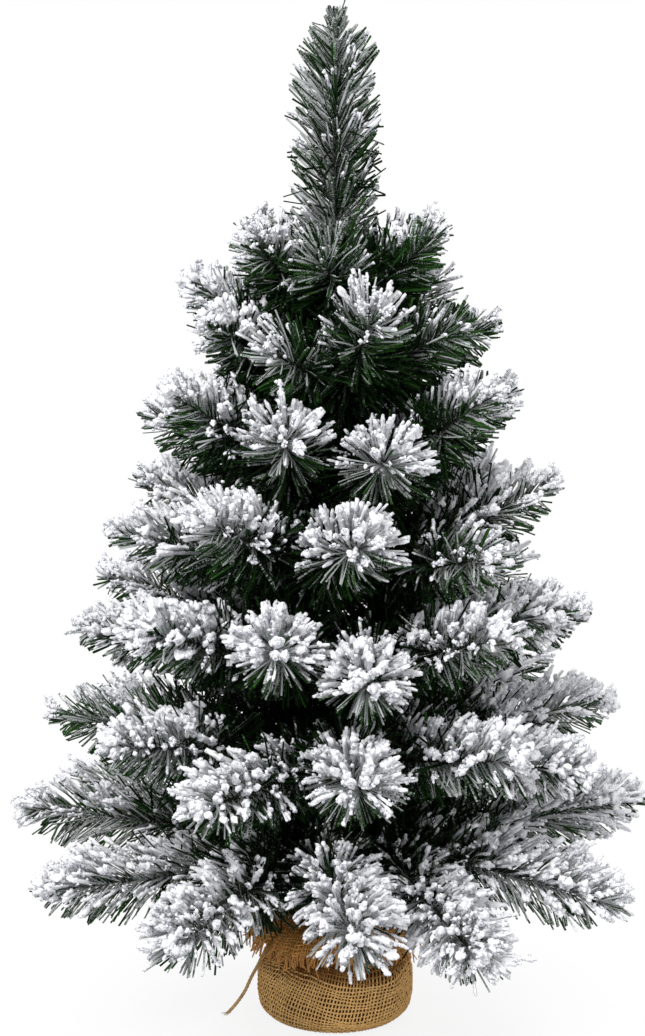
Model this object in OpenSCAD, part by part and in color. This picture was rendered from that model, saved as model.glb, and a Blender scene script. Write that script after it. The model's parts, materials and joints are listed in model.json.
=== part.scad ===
// Artificial tabletop fir: wire branches hinged on a steel pole, in a weighted burlap base.
// The photographed front faces -Y, the table is at z = 0 and the pole stands on the z axis.

/* [Trunk] */
// Diameter of the steel pole
pole_d = 6; // [5:0.5:7]
// Height of the pole's foot above the table
pole_foot_z = 10; // [6:1:20]
// Length of pole above the top tier's hinges
pole_above_tiers = 48; // [30:1:70]
// Depth of the socket in the pole's top that holds the leader wire
leader_socket = 24; // [12:1:30]
// Length of leader wire above the pole
leader_rise = 108; // [80:1:150]

/* [Tiers] */
// Height of the lowest tier's hinges above the table
lowest_tier_z = 110; // [100:1:125]
// Height from one tier's hinges to the next
tier_pitch = 52; // [48:1:60]
// Distance from the trunk axis to the wire ends in the lowest tier
bottom_reach = 160; // [130:1:180]
// Distance from the trunk axis to the wire ends in the top tier
top_reach = 43; // [40:1:56]
// Slope of the lowest branches above level, in degrees
bottom_slope_angle = -1; // [-3:1:6]
// Slope of the top branches above level, in degrees
top_slope_angle = 52; // [46:1:56]

/* [Branches] */
// Thickness of a twisted-wire stem
wire_d = 2.4; // [1.8:0.1:2.4]
// Distance from a hinge to the fork of its branch
fork_at = 22; // [18:1:26]
// Distance from a hinge to the fork of a two-tip branch in the top tier
top_fork_at = 9; // [7:0.5:11]
// Sideways angle of the side wires in the lower tiers
lower_spread_angle = 40; // [36:1:44]
// Sideways angle of the side wires in the upper tiers
upper_spread_angle = 50; // [46:1:54]
// Sideways angle of the two wires of a top branch
top_spread_angle = 36; // [30:1:42]
// Upward tilt of one side wire of a branch, and downward tilt of the other
side_tilt_angle = 5; // [2:1:7]
// Gap between a side wire's root and the main wire
wire_gap = 0.2; // [0.1:0.05:0.5]

/* [Needles] */
// Radius of the needle brush on the lowest branches
bottom_brush_r = 26; // [20:1:28]
// Radius of the needle brush on the top branches
top_brush_r = 20; // [16:1:22]
// Radius of the closed inner mass of a needle brush
brush_core_r = 8.5; // [6:0.5:10]
// Length of brush past a wire's end
brush_nose = 22; // [14:1:28]
// Bare length from a hinge to the needles on its main wire
bare_main = 40; // [36:1:50]
// Bare length from a fork to the needles on a side wire
bare_side = 24; // [20:1:34]
// Bare length from a top fork to the needles
bare_top = 12; // [10:0.5:14]
// Radial clearance between the needles and the wire they are wound on
needle_clear = 0.15; // [0.1:0.05:0.3]
// Height from the pole's top to the leader's needles
leader_bare = 4; // [2:0.5:8]

/* [Hinges] */
// Distance from the trunk axis to the hinge pins
hinge_r = 9.5; // [9:0.1:11]
// Diameter of a hinge pin
pin_d = 2; // [1.5:0.1:2.2]
// Outside diameter of the eye on a branch
eye_d = 4.4; // [4:0.1:5]
// Width of the eye on a branch
eye_w = 2.6; // [2.5:0.05:3]
// Thickness of one lug of a hub
lug_t = 1.4; // [1:0.1:1.8]
// Gap between an eye and each lug
eye_gap = 0.15; // [0.1:0.05:0.3]
// Radial play of the eye on its pin
eye_play = 0.05; // [0.03:0.01:0.1]
// Radial clearance of a pin in its lugs
lug_play = 0.02; // [0.01:0.01:0.05]
// Wall of a hub's sleeve
hub_wall = 2.2; // [1.5:0.1:2.4]
// Height of a hub's sleeve
hub_h = 8; // [6:0.5:12]
// Radial clearance of a hub or a wire in its seat on the pole
pole_fit = 0.05; // [0.02:0.01:0.1]

/* [Base] */
// Diameter of the cast weight
weight_d = 86; // [70:1:92]
// Height of the cast weight
weight_h = 37; // [32:1:45]
// Width of the slope round the weight's top and bottom
weight_edge = 9; // [5:0.5:12]
// Outward bulge of the burlap at half the weight's height
belly_bulge = 1.5; // [0.5:0.1:2.5]
// Thickness of the burlap
cloth_t = 1.5; // [1:0.1:2]
// Gap between the burlap and the weight
cloth_gap = 0.3; // [0.2:0.05:0.5]
// Height of burlap from the weight's top up to the tied neck
shoulder_h = 9; // [7:0.5:14]
// Outside radius of the gathered neck
neck_r = 12; // [10:0.5:14]
// Height that the ruffle stands above the tied neck
ruffle_rise = 6; // [4:0.5:9]
// Distance from the trunk axis to the ruffle's hem
ruffle_r = 52; // [49:0.5:56]
// Height that the ruffle falls from its crest to its hem
ruffle_drop = 21; // [15:0.5:24]
// Depth of the ruffle's waves
ruffle_wave = 2.6; // [1:0.1:3]
// Waves round the burlap
fold_count = 9; // [7:1:12]

/* [Twine] */
// Diameter of the jute twine
twine_d = 2.2; // [1.8:0.1:2.4]
// Turns of twine round the neck
twine_turns = 3; // [2:1:3]
// Height from one turn of twine to the next
twine_pitch = 2.9; // [2.85:0.05:3.2]
// Gap between the twine and the gathered neck
twine_gap = 0.3; // [0.2:0.05:0.4]

/* [Hidden] */
$fn = 48;
TIER_COUNT = 7;
FOUR_WAY_TIERS = 3;
TOP_TIER = TIER_COUNT - 1;
// Bearing of each tier's first branch, in degrees from the front towards the right
TIER_BEARING = [60, 5, 40, 84, 57, 15, 30];
LIFT_CURVE = 0.9;
FRONT_TURN = -90;
wire_r = wire_d / 2;
pole_r = pole_d / 2;
pin_r = pin_d / 2;
top_tier_z = lowest_tier_z + TOP_TIER * tier_pitch;
pole_top_z = top_tier_z + pole_above_tiers;
lug_gap = eye_w + 2 * eye_gap;
side_offset = wire_d + wire_gap;

// Needle brush: six sides, bands along the wire, and two strands on each band past the first
BRUSH_SIDES = 6;
BRUSH_BANDS = 4;
LEADER_BANDS = 7;
STRAND_STEP = 3;
STRAND_SHIFT = 2;
CORE_START = 0.55;
CORE_END = 0.6;
ROOM_SHARE = 0.95;
strand_turn = 360 / BRUSH_SIDES * 2 / 3;
bore_r = (wire_r + needle_clear) / cos(180 / BRUSH_SIDES);

// Burlap base, from the table up
weight_r = weight_d / 2;
weight_z = cloth_t + cloth_gap;
weight_top = weight_z + weight_h;
neck_z = weight_top + shoulder_h;
neck_h = twine_turns * twine_pitch + twine_d;
neck_top = neck_z + neck_h;
crest_z = neck_top + ruffle_rise;
hem_z = crest_z - ruffle_drop;
neck_bore_r = pole_r + cloth_gap;
FOLD_SECTORS = 45;
FOLD_BEARING = 198;
BELLY_WAVE = 0.5;
SHOULDER_WAVE = 1.4;
CREST_SHARE = 0.3;
TURN_SHARE = 0.68;
FALL_SHARE = 0.38;
// The foot is cast this much too deep and then cut flat at the table
FLAT_CUT = 0.5;

// Twine: winding round the neck and a loose tail
TWINE_RINGS = 24;
TWINE_SIDES = 6;
TAIL_SIDES = 8;
TWINE_END_TURN = 180;
twine_r = twine_d / 2;
wind_r = neck_r + twine_gap + twine_r;
wind_z = neck_z + twine_r;
// Loose end of the twine, from the winding over the shoulder and down beside the base
TAIL_ROUTE = [
    [-20, -10, 51],
    [-28, -12, 50],
    [-36, -13, 47],
    [-42, -13, 41],
    [-46, -13, 33],
    [-50, -12, 25],
    [-54, -12, 16],
    [-59, -11, 8],
    [-64, -11, 2]
];

// Sizes of one tier, counted from 0 at the bottom
function branch_count(t) = t < FOUR_WAY_TIERS ? 4 : 3;
function branch_name(t, b, part) = str("tier", t + 1, "_branch", b + 1, "_", part);
function rise_share(t) = t / TOP_TIER;
function blend(low, high, share) = low + (high - low) * share;
function tier_z(t) = lowest_tier_z + t * tier_pitch;
function tier_reach(t) = blend(bottom_reach, top_reach, rise_share(t));
function tier_lift(t) = blend(bottom_slope_angle, top_slope_angle, pow(rise_share(t), LIFT_CURVE));
function brush_r(t) = blend(bottom_brush_r, top_brush_r, rise_share(t));
function fork_of(t) = t == TOP_TIER ? top_fork_at : fork_at;
function spread_of(t) =
    t == TOP_TIER ? top_spread_angle : t < FOUR_WAY_TIERS ? lower_spread_angle : upper_spread_angle;
function tilt_of(t) = t == TOP_TIER ? 0 : side_tilt_angle;
function tips_of(t) = branch_count(t) * (t == TOP_TIER ? 2 : 3);
function bearing(t, b) = TIER_BEARING[t] + b * 360 / branch_count(t);

// A main wire ends at the tier's reach. A top branch has only a stub that carries its two side wires
function main_length(t) =
    t == TOP_TIER ? top_fork_at + wire_d : (tier_reach(t) - hinge_r) / cos(tier_lift(t));

// A side wire is as long as it takes to end at the tier's reach, from the plan view's quadratic
function side_length(t) =
    let (level = cos(tier_lift(t)))
    let (along = cos(spread_of(t)) * level)
    let (across = sin(spread_of(t)))
    let (start = hinge_r + fork_of(t) * level)
    let (a = along * along + across * across)
    let (half_b = start * along + side_offset * across)
    let (c = start * start + side_offset * side_offset - tier_reach(t) * tier_reach(t))
    (-half_b + sqrt(half_b * half_b - a * c)) / a;

// Radius that strands may take at a distance from the trunk, so that neighbouring tips stay apart
function room(t, out) = min(brush_r(t), out * sin(180 / tips_of(t)) * ROOM_SHARE);

// Needle brush along +X from start to the wire's end, wound on a wire through its own bore
function ring(x, r, turn = 0) =
    [for (j = [0:BRUSH_SIDES - 1])
        let (angle = j * 360 / BRUSH_SIDES + turn)
        [x, r * cos(angle), r * sin(angle)]];
function core_radius(share) = brush_core_r * blend(CORE_START, CORE_END, share)
    + brush_core_r * (1 - CORE_END) * sin(180 * share);
function has_strand(i, j) = i > 0 && (j + STRAND_SHIFT * i) % STRAND_STEP == 0;
function band_x(start, end, bands, i) = blend(start, end, i / bands);

module needle_brush(t, start, end, bands, trunk_gap) {
    rings = [for (i = [0:bands]) each ring(band_x(start, end, bands, i), core_radius(i / bands))];
    bore = concat(ring(start, bore_r), ring(end + needle_clear, bore_r));
    strands = [for (i = [0:bands - 1]) for (j = [0:BRUSH_SIDES - 1]) if (has_strand(i, j)) [i, j]];
    tips = [for (s = strands) strand_tip(t, start, end, bands, trunk_gap, s)];
    nose = len(rings);
    bore_at = nose + 1;
    tips_at = bore_at + len(bore);
    bore_end = bore_at + BRUSH_SIDES;
    last = bands * BRUSH_SIDES;
    faces = concat(
        [for (i = [0:bands - 1]) for (j = [0:BRUSH_SIDES - 1])
            let (a = i * BRUSH_SIDES + j)
            let (b = i * BRUSH_SIDES + next_side(j))
            each concat(
                [[a, a + BRUSH_SIDES, b + BRUSH_SIDES]],
                has_strand(i, j) ? [] : [[a, b + BRUSH_SIDES, b]]
            )],
        [for (k = [0:len(strands) - 1])
            let (a = strands[k][0] * BRUSH_SIDES + strands[k][1])
            let (b = strands[k][0] * BRUSH_SIDES + next_side(strands[k][1]))
            let (c = b + BRUSH_SIDES)
            let (tip = tips_at + k)
            each [[a, c, tip], [c, b, tip], [b, a, tip]]],
        [for (j = [0:BRUSH_SIDES - 1]) [last + j, nose, last + next_side(j)]],
        [for (j = [0:BRUSH_SIDES - 1])
            let (k = next_side(j))
            each [
                [j, k, bore_at + k],
                [j, bore_at + k, bore_at + j],
                [bore_at + j, bore_at + k, bore_end + k],
                [bore_at + j, bore_end + k, bore_end + j]
            ]],
        [for (j = [1:BRUSH_SIDES - 2]) [bore_end, bore_end + j, bore_end + j + 1]]
    );
    polyhedron(concat(rings, [[end + brush_nose, 0, 0]], bore, tips), faces);
}

function next_side(j) = (j + 1) % BRUSH_SIDES;

// A strand leans forward by as much as it stands out from the core
function strand_tip(t, start, end, bands, trunk_gap, s) =
    let (foot = band_x(start, end, bands, s[0] + 1 / 3))
    let (core = core_radius((s[0] + 1 / 3) / bands))
    let (r = max(core + wire_d, room(t, foot + trunk_gap)))
    ring(foot + r - core, r, strand_turn)[s[1]];

// Places along one branch: x runs along its main wire, y to the side and z up
module on_branch(t, b)
    rotate([0, 0, bearing(t, b) + FRONT_TURN])
        translate([hinge_r, 0, tier_z(t)])
            rotate([0, -tier_lift(t), 0])
                children();

module on_side_wire(t, side)
    translate([fork_of(t), side * side_offset, 0])
        rotate([0, 0, side * spread_of(t)])
            rotate([0, -side * tilt_of(t), 0])
                children();

module rod(r, length)
    rotate([0, 90, 0])
        cylinder(r = r, h = length);

module along_pin(r, width)
    rotate([90, 0, 0])
        cylinder(r = r, h = width, center = true);

module branch_wires(t, b) {
    color("dimgray")
        on_branch(t, b) {
            difference() {
                union() {
                    along_pin(eye_d / 2, eye_w);
                    rod(wire_r, main_length(t));
                }
                along_pin(pin_r + eye_play, 2 * eye_w);
            }
            for (side = [-1, 1])
                on_side_wire(t, side)
                    rod(wire_r, side_length(t));
        }
}

module branch_needles(t, b) {
    side_start = t == TOP_TIER ? bare_top : bare_side;
    color("darkgreen")
        on_branch(t, b) {
            if (t < TOP_TIER)
                needle_brush(t, bare_main, main_length(t), BRUSH_BANDS, hinge_r);
            for (side = [-1, 1])
                on_side_wire(t, side)
                    needle_brush(t, side_start, side_length(t), BRUSH_BANDS, hinge_r + fork_of(t));
        }
}

// Trunk: a pole with a socket in its top for the leader's wire
module trunk_pole() {
    color("darkolivegreen")
        difference() {
            translate([0, 0, pole_foot_z])
                cylinder(r = pole_r, h = pole_top_z - pole_foot_z);
            translate([0, 0, pole_top_z - leader_socket])
                cylinder(r = wire_r + pole_fit, h = leader_socket + wire_d);
        }
}

module leader_wire() {
    color("dimgray")
        translate([0, 0, pole_top_z - leader_socket])
            cylinder(r = wire_r, h = leader_socket + leader_rise);
}

module leader_needles() {
    color("darkgreen")
        translate([0, 0, pole_top_z])
            rotate([0, -90, 0])
                needle_brush(0, leader_bare, leader_rise, LEADER_BANDS, bottom_reach);
}

// Hubs: a sleeve on the pole with a pair of lugs for each branch of its tier
module lug_pair() {
    for (side = [-1, 1])
        translate([0, side * (lug_gap + lug_t) / 2, 0])
            difference() {
                union() {
                    translate([hinge_r, 0, 0])
                        along_pin(eye_d / 2, lug_t);
                    translate([pole_r + hub_wall / 2, -lug_t / 2, -eye_d / 2 + lug_t / 4])
                        cube([hinge_r - pole_r - hub_wall / 2, lug_t, eye_d - lug_t / 2]);
                }
                translate([hinge_r, 0, 0])
                    along_pin(pin_r + lug_play, 2 * lug_t);
            }
}

module hub(t) {
    translate([0, 0, tier_z(t)])
        difference() {
            union() {
                cylinder(r = pole_r + hub_wall, h = hub_h, center = true);
                for (b = [0:branch_count(t) - 1])
                    rotate([0, 0, bearing(t, b) + FRONT_TURN])
                        lug_pair();
            }
            cylinder(r = pole_r + pole_fit, h = 2 * hub_h, center = true);
        }
}

module four_way_hubs() {
    color("darkolivegreen")
        for (t = [0:FOUR_WAY_TIERS - 1])
            hub(t);
}

module three_way_hubs() {
    color("darkolivegreen")
        for (t = [FOUR_WAY_TIERS:TOP_TIER])
            hub(t);
}

module hinge_pins() {
    color("silver")
        for (t = [0:TOP_TIER])
            for (b = [0:branch_count(t) - 1])
                rotate([0, 0, bearing(t, b) + FRONT_TURN])
                    translate([hinge_r, 0, tier_z(t)])
                        along_pin(pin_r, lug_gap + 2 * lug_t);
}

// Base: a cast weight with a socket for the pole, wrapped in burlap that is tied at the neck
module cement_weight() {
    color("lightgray")
        difference() {
            translate([0, 0, weight_z])
                rotate_extrude()
                    polygon([
                        [0, 0],
                        [weight_r - weight_edge, 0],
                        [weight_r, weight_edge],
                        [weight_r, weight_h - weight_edge],
                        [weight_r - weight_edge, weight_h],
                        [0, weight_h]
                    ]);
            translate([0, 0, pole_foot_z])
                cylinder(r = pole_r + pole_fit, h = weight_top);
        }
}

// Section of the burlap, as radius, height and depth of wave, round the cloth from its outside
// foot, up to the ruffle's hem and back down the inside to the edge of the floor
skin = cloth_gap + cloth_t;
belly_r = weight_r + skin;
edge_in = weight_r - weight_edge + cloth_gap;
edge_out = weight_r - weight_edge + skin;
ruffle_crest_r = blend(neck_r, ruffle_r, CREST_SHARE);
ruffle_turn_r = blend(neck_r, ruffle_r, TURN_SHARE);
ruffle_turn_z = blend(crest_z, hem_z, FALL_SHARE);
cloth_section = [
    [edge_out, -FLAT_CUT, 0],
    [belly_r, weight_edge, 0],
    [belly_r + belly_bulge, weight_z + weight_h / 2, BELLY_WAVE],
    [belly_r, weight_top - weight_edge + skin, BELLY_WAVE],
    [edge_out, weight_top + skin, SHOULDER_WAVE],
    [neck_r, neck_z, 0],
    [neck_r, neck_top, 0],
    [ruffle_crest_r, crest_z - cloth_t, ruffle_wave],
    [ruffle_turn_r - cloth_t / 2, crest_z - 2 * cloth_t, ruffle_wave],
    [ruffle_r - 2 * cloth_t, ruffle_turn_z, ruffle_wave],
    [ruffle_r - cloth_t, hem_z, ruffle_wave],
    [ruffle_r, hem_z, ruffle_wave],
    [ruffle_r - cloth_t / 2, ruffle_turn_z + cloth_t / 2, ruffle_wave],
    [ruffle_turn_r, crest_z - cloth_t / 2, ruffle_wave],
    [ruffle_crest_r, crest_z, ruffle_wave],
    [neck_bore_r, neck_top, 0],
    [neck_bore_r, neck_z, 0],
    [edge_in, weight_top + cloth_gap, 0],
    [weight_r + cloth_gap, weight_top - weight_edge + cloth_gap, 0],
    [weight_r + cloth_gap, weight_z + weight_edge - cloth_gap, 0],
    [edge_in, cloth_t, 0]
];

module burlap_wrap() {
    rows = len(cloth_section);
    step = 360 / FOLD_SECTORS;
    points = [for (p = cloth_section) for (k = [0:FOLD_SECTORS - 1])
        let (r = p[0] + p[2] * cos(fold_count * (k * step - FOLD_BEARING)))
        [r * cos(k * step), r * sin(k * step), p[1]]];
    floor_under = len(points);
    floor_over = floor_under + 1;
    last = (rows - 1) * FOLD_SECTORS;
    faces = concat(
        [for (i = [0:rows - 2]) for (k = [0:FOLD_SECTORS - 1])
            let (a = i * FOLD_SECTORS + k)
            let (b = i * FOLD_SECTORS + (k + 1) % FOLD_SECTORS)
            each [[a, a + FOLD_SECTORS, b + FOLD_SECTORS], [a, b + FOLD_SECTORS, b]]],
        [for (k = [0:FOLD_SECTORS - 1]) [floor_under, k, (k + 1) % FOLD_SECTORS]],
        [for (k = [0:FOLD_SECTORS - 1]) [floor_over, last + (k + 1) % FOLD_SECTORS, last + k]]
    );
    color("peru")
        difference() {
            polyhedron(concat(points, [[0, 0, -FLAT_CUT], [0, 0, cloth_t]]), faces);
            translate([0, 0, -2 * FLAT_CUT])
                cylinder(r = ruffle_r, h = 2 * FLAT_CUT);
        }
}

// Twine tube: a ring of points at each point of a path, square to the path there
function unit(v) = v / norm(v);
function heading(path, i) = unit(path[min(i + 1, len(path) - 1)] - path[max(i - 1, 0)]);
function tube_ring(p, along, r, sides) =
    let (across = unit(cross([0, 0, 1], along)))
    let (up = cross(along, across))
    [for (j = [0:sides - 1])
        let (angle = j * 360 / sides)
        p + r * cos(angle) * across + r * sin(angle) * up];

module tube(path, r, sides) {
    n = len(path);
    points = [for (i = [0:n - 1]) each tube_ring(path[i], heading(path, i), r, sides)];
    faces = concat(
        [[for (j = [0:sides - 1]) j]],
        [for (i = [0:n - 2]) for (j = [0:sides - 1])
            let (a = i * sides + j)
            let (b = i * sides + (j + 1) % sides)
            each [[a, a + sides, b + sides], [a, b + sides, b]]],
        [[for (j = [sides - 1:-1:0]) (n - 1) * sides + j]]
    );
    polyhedron(points, faces);
}

// Winding: climbs round the neck, with a straight end of one diameter where the tail leaves it
function wind_point(turn) =
    [
        wind_r * cos(TWINE_END_TURN - turn * 360),
        wind_r * sin(TWINE_END_TURN - turn * 360),
        wind_z + turn * twine_pitch
    ];
wind_start = wind_point(0);
wind_way = unit(wind_start - wind_point(1 / TWINE_RINGS));
wind_end = wind_start + twine_d * wind_way;
wind_path = concat(
    [wind_end],
    [for (i = [0:twine_turns * TWINE_RINGS]) wind_point(i / TWINE_RINGS)]
);

// Least gap of the winding to itself, over points at least half a turn apart
wind_self_gap = min([for (i = [0:len(wind_path) - 1])
    for (k = [i + TWINE_RINGS / 2:len(wind_path) - 1])
        norm(wind_path[i] - wind_path[k])]) - twine_d;
echo(wind_self_gap = wind_self_gap);

module twine_winding() {
    color("burlywood")
        tube(wind_path, twine_r, TWINE_SIDES);
}

// Tail: leaves the winding's end in line with it, then follows its route
tail_start = wind_end + twine_gap * wind_way;
tail_path = concat([tail_start, tail_start + twine_d * wind_way], TAIL_ROUTE);

module twine_tail() {
    color("burlywood")
        tube(tail_path, twine_r, TAIL_SIDES);
}

trunk_pole();
leader_wire();
leader_needles();
four_way_hubs();
three_way_hubs();
hinge_pins();
cement_weight();
burlap_wrap();
twine_winding();
twine_tail();
for (t = [0:TOP_TIER])
    for (b = [0:branch_count(t) - 1]) {
        branch_wires(t, b);
        branch_needles(t, b);
    }
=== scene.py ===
"""Looks of the artificial tabletop fir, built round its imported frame.

Each hinged branch gets a brush of cut-film needles with white flock on it, the base gets woven
burlap with a frayed ruffle, and the neck gets its twine. Lengths are metres in the frame's axes.
"""

import json
import math
from dataclasses import dataclass
from functools import lru_cache

import bmesh
import bpy
import numpy as np
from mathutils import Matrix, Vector


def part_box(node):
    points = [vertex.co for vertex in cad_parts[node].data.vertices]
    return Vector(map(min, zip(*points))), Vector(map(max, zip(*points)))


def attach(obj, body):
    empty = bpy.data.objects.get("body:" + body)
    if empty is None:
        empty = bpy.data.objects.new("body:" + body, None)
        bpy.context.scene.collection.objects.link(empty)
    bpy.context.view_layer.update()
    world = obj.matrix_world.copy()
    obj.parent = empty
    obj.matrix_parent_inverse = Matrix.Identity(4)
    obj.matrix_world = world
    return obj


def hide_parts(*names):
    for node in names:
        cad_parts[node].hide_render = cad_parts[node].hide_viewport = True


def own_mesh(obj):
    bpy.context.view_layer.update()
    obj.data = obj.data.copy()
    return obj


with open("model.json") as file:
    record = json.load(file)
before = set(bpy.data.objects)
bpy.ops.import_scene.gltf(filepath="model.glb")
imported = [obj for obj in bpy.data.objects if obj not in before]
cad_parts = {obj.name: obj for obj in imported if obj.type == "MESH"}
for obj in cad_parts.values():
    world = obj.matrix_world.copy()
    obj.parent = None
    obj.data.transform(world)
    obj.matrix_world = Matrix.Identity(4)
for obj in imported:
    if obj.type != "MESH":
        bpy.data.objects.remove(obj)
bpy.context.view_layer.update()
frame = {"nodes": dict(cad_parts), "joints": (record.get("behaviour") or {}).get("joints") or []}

bl_info = {
    "name": "Tabletop Fir Dresser",
    "version": (1, 0, 0),
    "blender": (4, 5, 0),
    "location": "View3D > Sidebar > Fir",
    "description": "Dresses the tabletop fir's frame with needles, flock, burlap and twine",
    "category": "Object",
}

MM = 0.001
UP = np.array([0.0, 0.0, 1.0])
BAKE_MAP = "OFBake"
FULL_TURN = 2 * math.pi
GOLDEN_TURN = math.pi * (3 - math.sqrt(5))
NEEDLE_FINISH = "frosted_needles"
FLOCK_FINISH = "white_flock"
# Places of a piece's two finishes in its list of materials
FILM, FLOCK = 0, 1
# Seeds of the random draws
CLOTH_SEED, FIBRE_SEED, WARP_SEED, WEFT_SEED, FRINGE_SEED = 71, 5, 11, 12, 13
BRANCH_SEED, LEADER_SEED = 1000, 7000

# Needle map: bands of tint up to NEEDLE_TOP, then flock from FLOCK_FOOT upwards
TINTS = 4
NEEDLE_TOP = 0.74
FLOCK_FOOT = 0.79
FLOCK_SPAN = 0.19
BAND_EDGE = 0.06

# Flock on each tier's tips by bearing from the front, in degrees towards the right.
# The values of the tiers go from the lowest tier up
FLOCK_ROUND = (
    (
        (-150, 0.6), (-95, 0.22), (-62, 0.95), (-29, 0.75),
        (4, 1.0), (28, 1.0), (60, 1.0), (94, 0.8),
    ),
    (
        (-150, 0.7), (-85, 0.3), (-52, 0.95), (-28, 1.0),
        (5, 1.0), (38, 1.0), (62, 1.0), (140, 0.6),
    ),
    (
        (-150, 0.6), (-80, 0.7), (-50, 1.0), (-17, 1.05),
        (9, 1.05), (41, 1.05), (75, 1.0), (140, 0.7),
    ),
    ((-150, 0.7), (-73, 0.95), (-35, 0.82), (3, 0.84), (46, 0.42), (84, 0.85), (140, 0.6)),
    ((-150, 0.6), (-62, 0.90), (-24, 0.64), (20, 0.68), (58, 0.42), (98, 0.55), (150, 0.6)),
    ((-150, 0.5), (-67, 0.85), (-22, 0.35), (17, 0.5), (55, 0.25), (97, 0.45), (150, 0.5)),
    ((-150, 0.4), (-60, 0.6), (0, 0.22), (60, 0.45), (120, 0.4)),
)
LEADER_FLOCK = 0.40
# Needle length on each tier as a share of the usual length
NEEDLE_SHARE = (1.02, 0.96, 0.95, 1.0, 1.0, 1.0, 0.98)
# How closely the needles of each tier stand, against the usual number
CROWD = (1.0, 1.0, 1.0, 1.05, 1.1, 1.2, 1.5)
# How much further a slim tip at the left or right goes on past its wire
SLIM_PAST = (0.013, 0.012, 0.014, 0.016, 0.019, 0.019, 0.014)
# How far round a tip the flock comes on each tier, beyond the usual
TURNED_UP = (0.30, 0.08, 0.05, 0.05, 0.05, 0.0, 0.0)
# Thin frost on each tier beyond the usual, and the share of it on a tip that has no flock
DUST = (0.17, 0.11, 0.12, 0.13, 0.16, 0.11, 0.03)
DUST_KEPT = 0.25
# How far a lowest tip hangs below its straight wire, by bearing from the front
TIP_DROOP = (
    (-90, -0.010), (-60, -0.008), (-31, 0.009), (-5, 0.016), (26, 0.002), (59, 0.007), (90, -0.008),
)
# The leader: how far its brush starts below the pole's top and ends above the wire's end
LEADER_BELOW, LEADER_ABOVE = 24 * MM, 4 * MM
# Its needles' length against the usual, its crowding and its thin frost
LEADER_SHARE, LEADER_CROWD, LEADER_DUST = 0.97, 2.0, 0.19
# Flock that its upright end sheds
LEADER_SHED = 0.85
# Depth of the slice of a wire that gives the middle of its end
END_SLICE = 0.5 * MM
# Stem left bare at a fork, and how many times fewer extra needles stand there than at a root
FORK_BARE = 4 * MM
FORK_FEWER = 4

# Burlap's section from under the weight up to the neck and out to the ruffle's hem:
# radius and height in millimetres, then depth of the broad waves and of the fine pleats
CLOTH_SECTION = (
    (0.0, 0.9, 0.0, 0.0),
    (32.0, 0.9, 0.0, 0.0),
    (40.5, 1.3, 0.0, 0.0),
    (45.0, 6.0, 0.0, 0.1),
    (46.2, 15.0, 0.3, 0.2),
    (45.8, 29.0, 0.6, 0.3),
    (41.5, 38.0, 1.0, 0.5),
    (30.0, 43.5, 1.3, 0.9),
    (17.0, 47.0, 0.8, 1.0),
    (12.0, 50.0, 0.2, 0.8),
    (11.6, 56.0, 0.2, 0.8),
    (15.0, 61.5, 1.0, 1.2),
    (25.0, 64.6, 2.2, 1.4),
    (38.0, 63.0, 2.6, 1.5),
    (47.0, 57.0, 2.8, 1.5),
    (51.0, 50.0, 2.8, 1.5),
    (52.0, 44.5, 2.8, 1.5),
)
CLOTH_WAVES = 9
CLOTH_PLEATS = (23, 31, 37, 14)
CLOTH_WAVE_AT = math.radians(198)
# Shares of the section where the drawn weave begins, the neck ends and the woven part ends
WOVEN_FROM = 0.235
NECK_SHARE = 0.66
HEM_SHARE = 0.95
YARN_SIDES = 4
# How far a yarn goes over and under those that it crosses, against its depth
CRIMP = 0.42
# Fibres along a yarn's map, and the depth of their bump
YARN_FIBRES, TWINE_FIBRES, FRAYED_FIBRES = 420.0, 160.0, 60.0
YARN_BUMP, TWINE_BUMP = 0.4, 0.5
# Where the burlap gets painted shade under its ruffle, and where it turns redder on the ruffle
# itself
PAINTED_SHADE_SHARES = (0.420, 0.460)
PAINTED_SHADE_TONE = (0.42, 0.33, 0.25)
RUFFLE_SHARES = (0.66, 0.68)
RUFFLE_TONE = (0.90, 0.74, 0.58)
NECK_WIND_R = 13.4 * MM
NECK_WIND_Z = 48.9 * MM
NECK_TURNS = 3
NECK_STEPS = 72
NECK_PITCH = 2.9 * MM
TWINE_D = 2.2 * MM
TWINE_STEP = 0.7 * MM
TWINE_SIDES = 12
# Depth of the grooves between its plies, against its radius
TWINE_GROOVE = 0.28
LOOSE_FIBRES = 26
# Loose end of the twine, the same points as in the part's source
TAIL_ROUTE = (
    (-0.0137, -0.0025, 0.0488),
    (-0.0140, -0.0047, 0.0487),
    (-0.020, -0.010, 0.051),
    (-0.028, -0.012, 0.050),
    (-0.036, -0.013, 0.047),
    (-0.042, -0.013, 0.041),
    (-0.046, -0.013, 0.033),
    (-0.050, -0.012, 0.025),
    (-0.054, -0.012, 0.016),
    (-0.059, -0.011, 0.008),
    (-0.064, -0.011, 0.002),
)

# Pale stage: each lamp's name, its setting, its place and its width
LAMPS = (
    ("key_lamp", "key", (-0.9, -1.5, 1.75), 1.1),
    ("fill_lamp", "fill", (0.9, -1.7, 0.75), 1.0),
    ("top_lamp", "top", (0.2, 0.3, 2.0), 1.2),
    ("back_lamp", "back", (0.5, 1.7, 1.2), 1.2),
)
LAMP_AIM = Vector((0, 0, 0.28))
WHITE = (1.0, 1.0, 1.0, 1.0)
SKY_TINT = (0.95, 0.97, 1.0, 1.0)
FLOOR_HALF = 6.0
# The floor shows its shadow near the base and turns plain white away from it
SHADOW_REACH = (0.05, 0.20)
SHADOW_SHARE = 0.14

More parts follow.
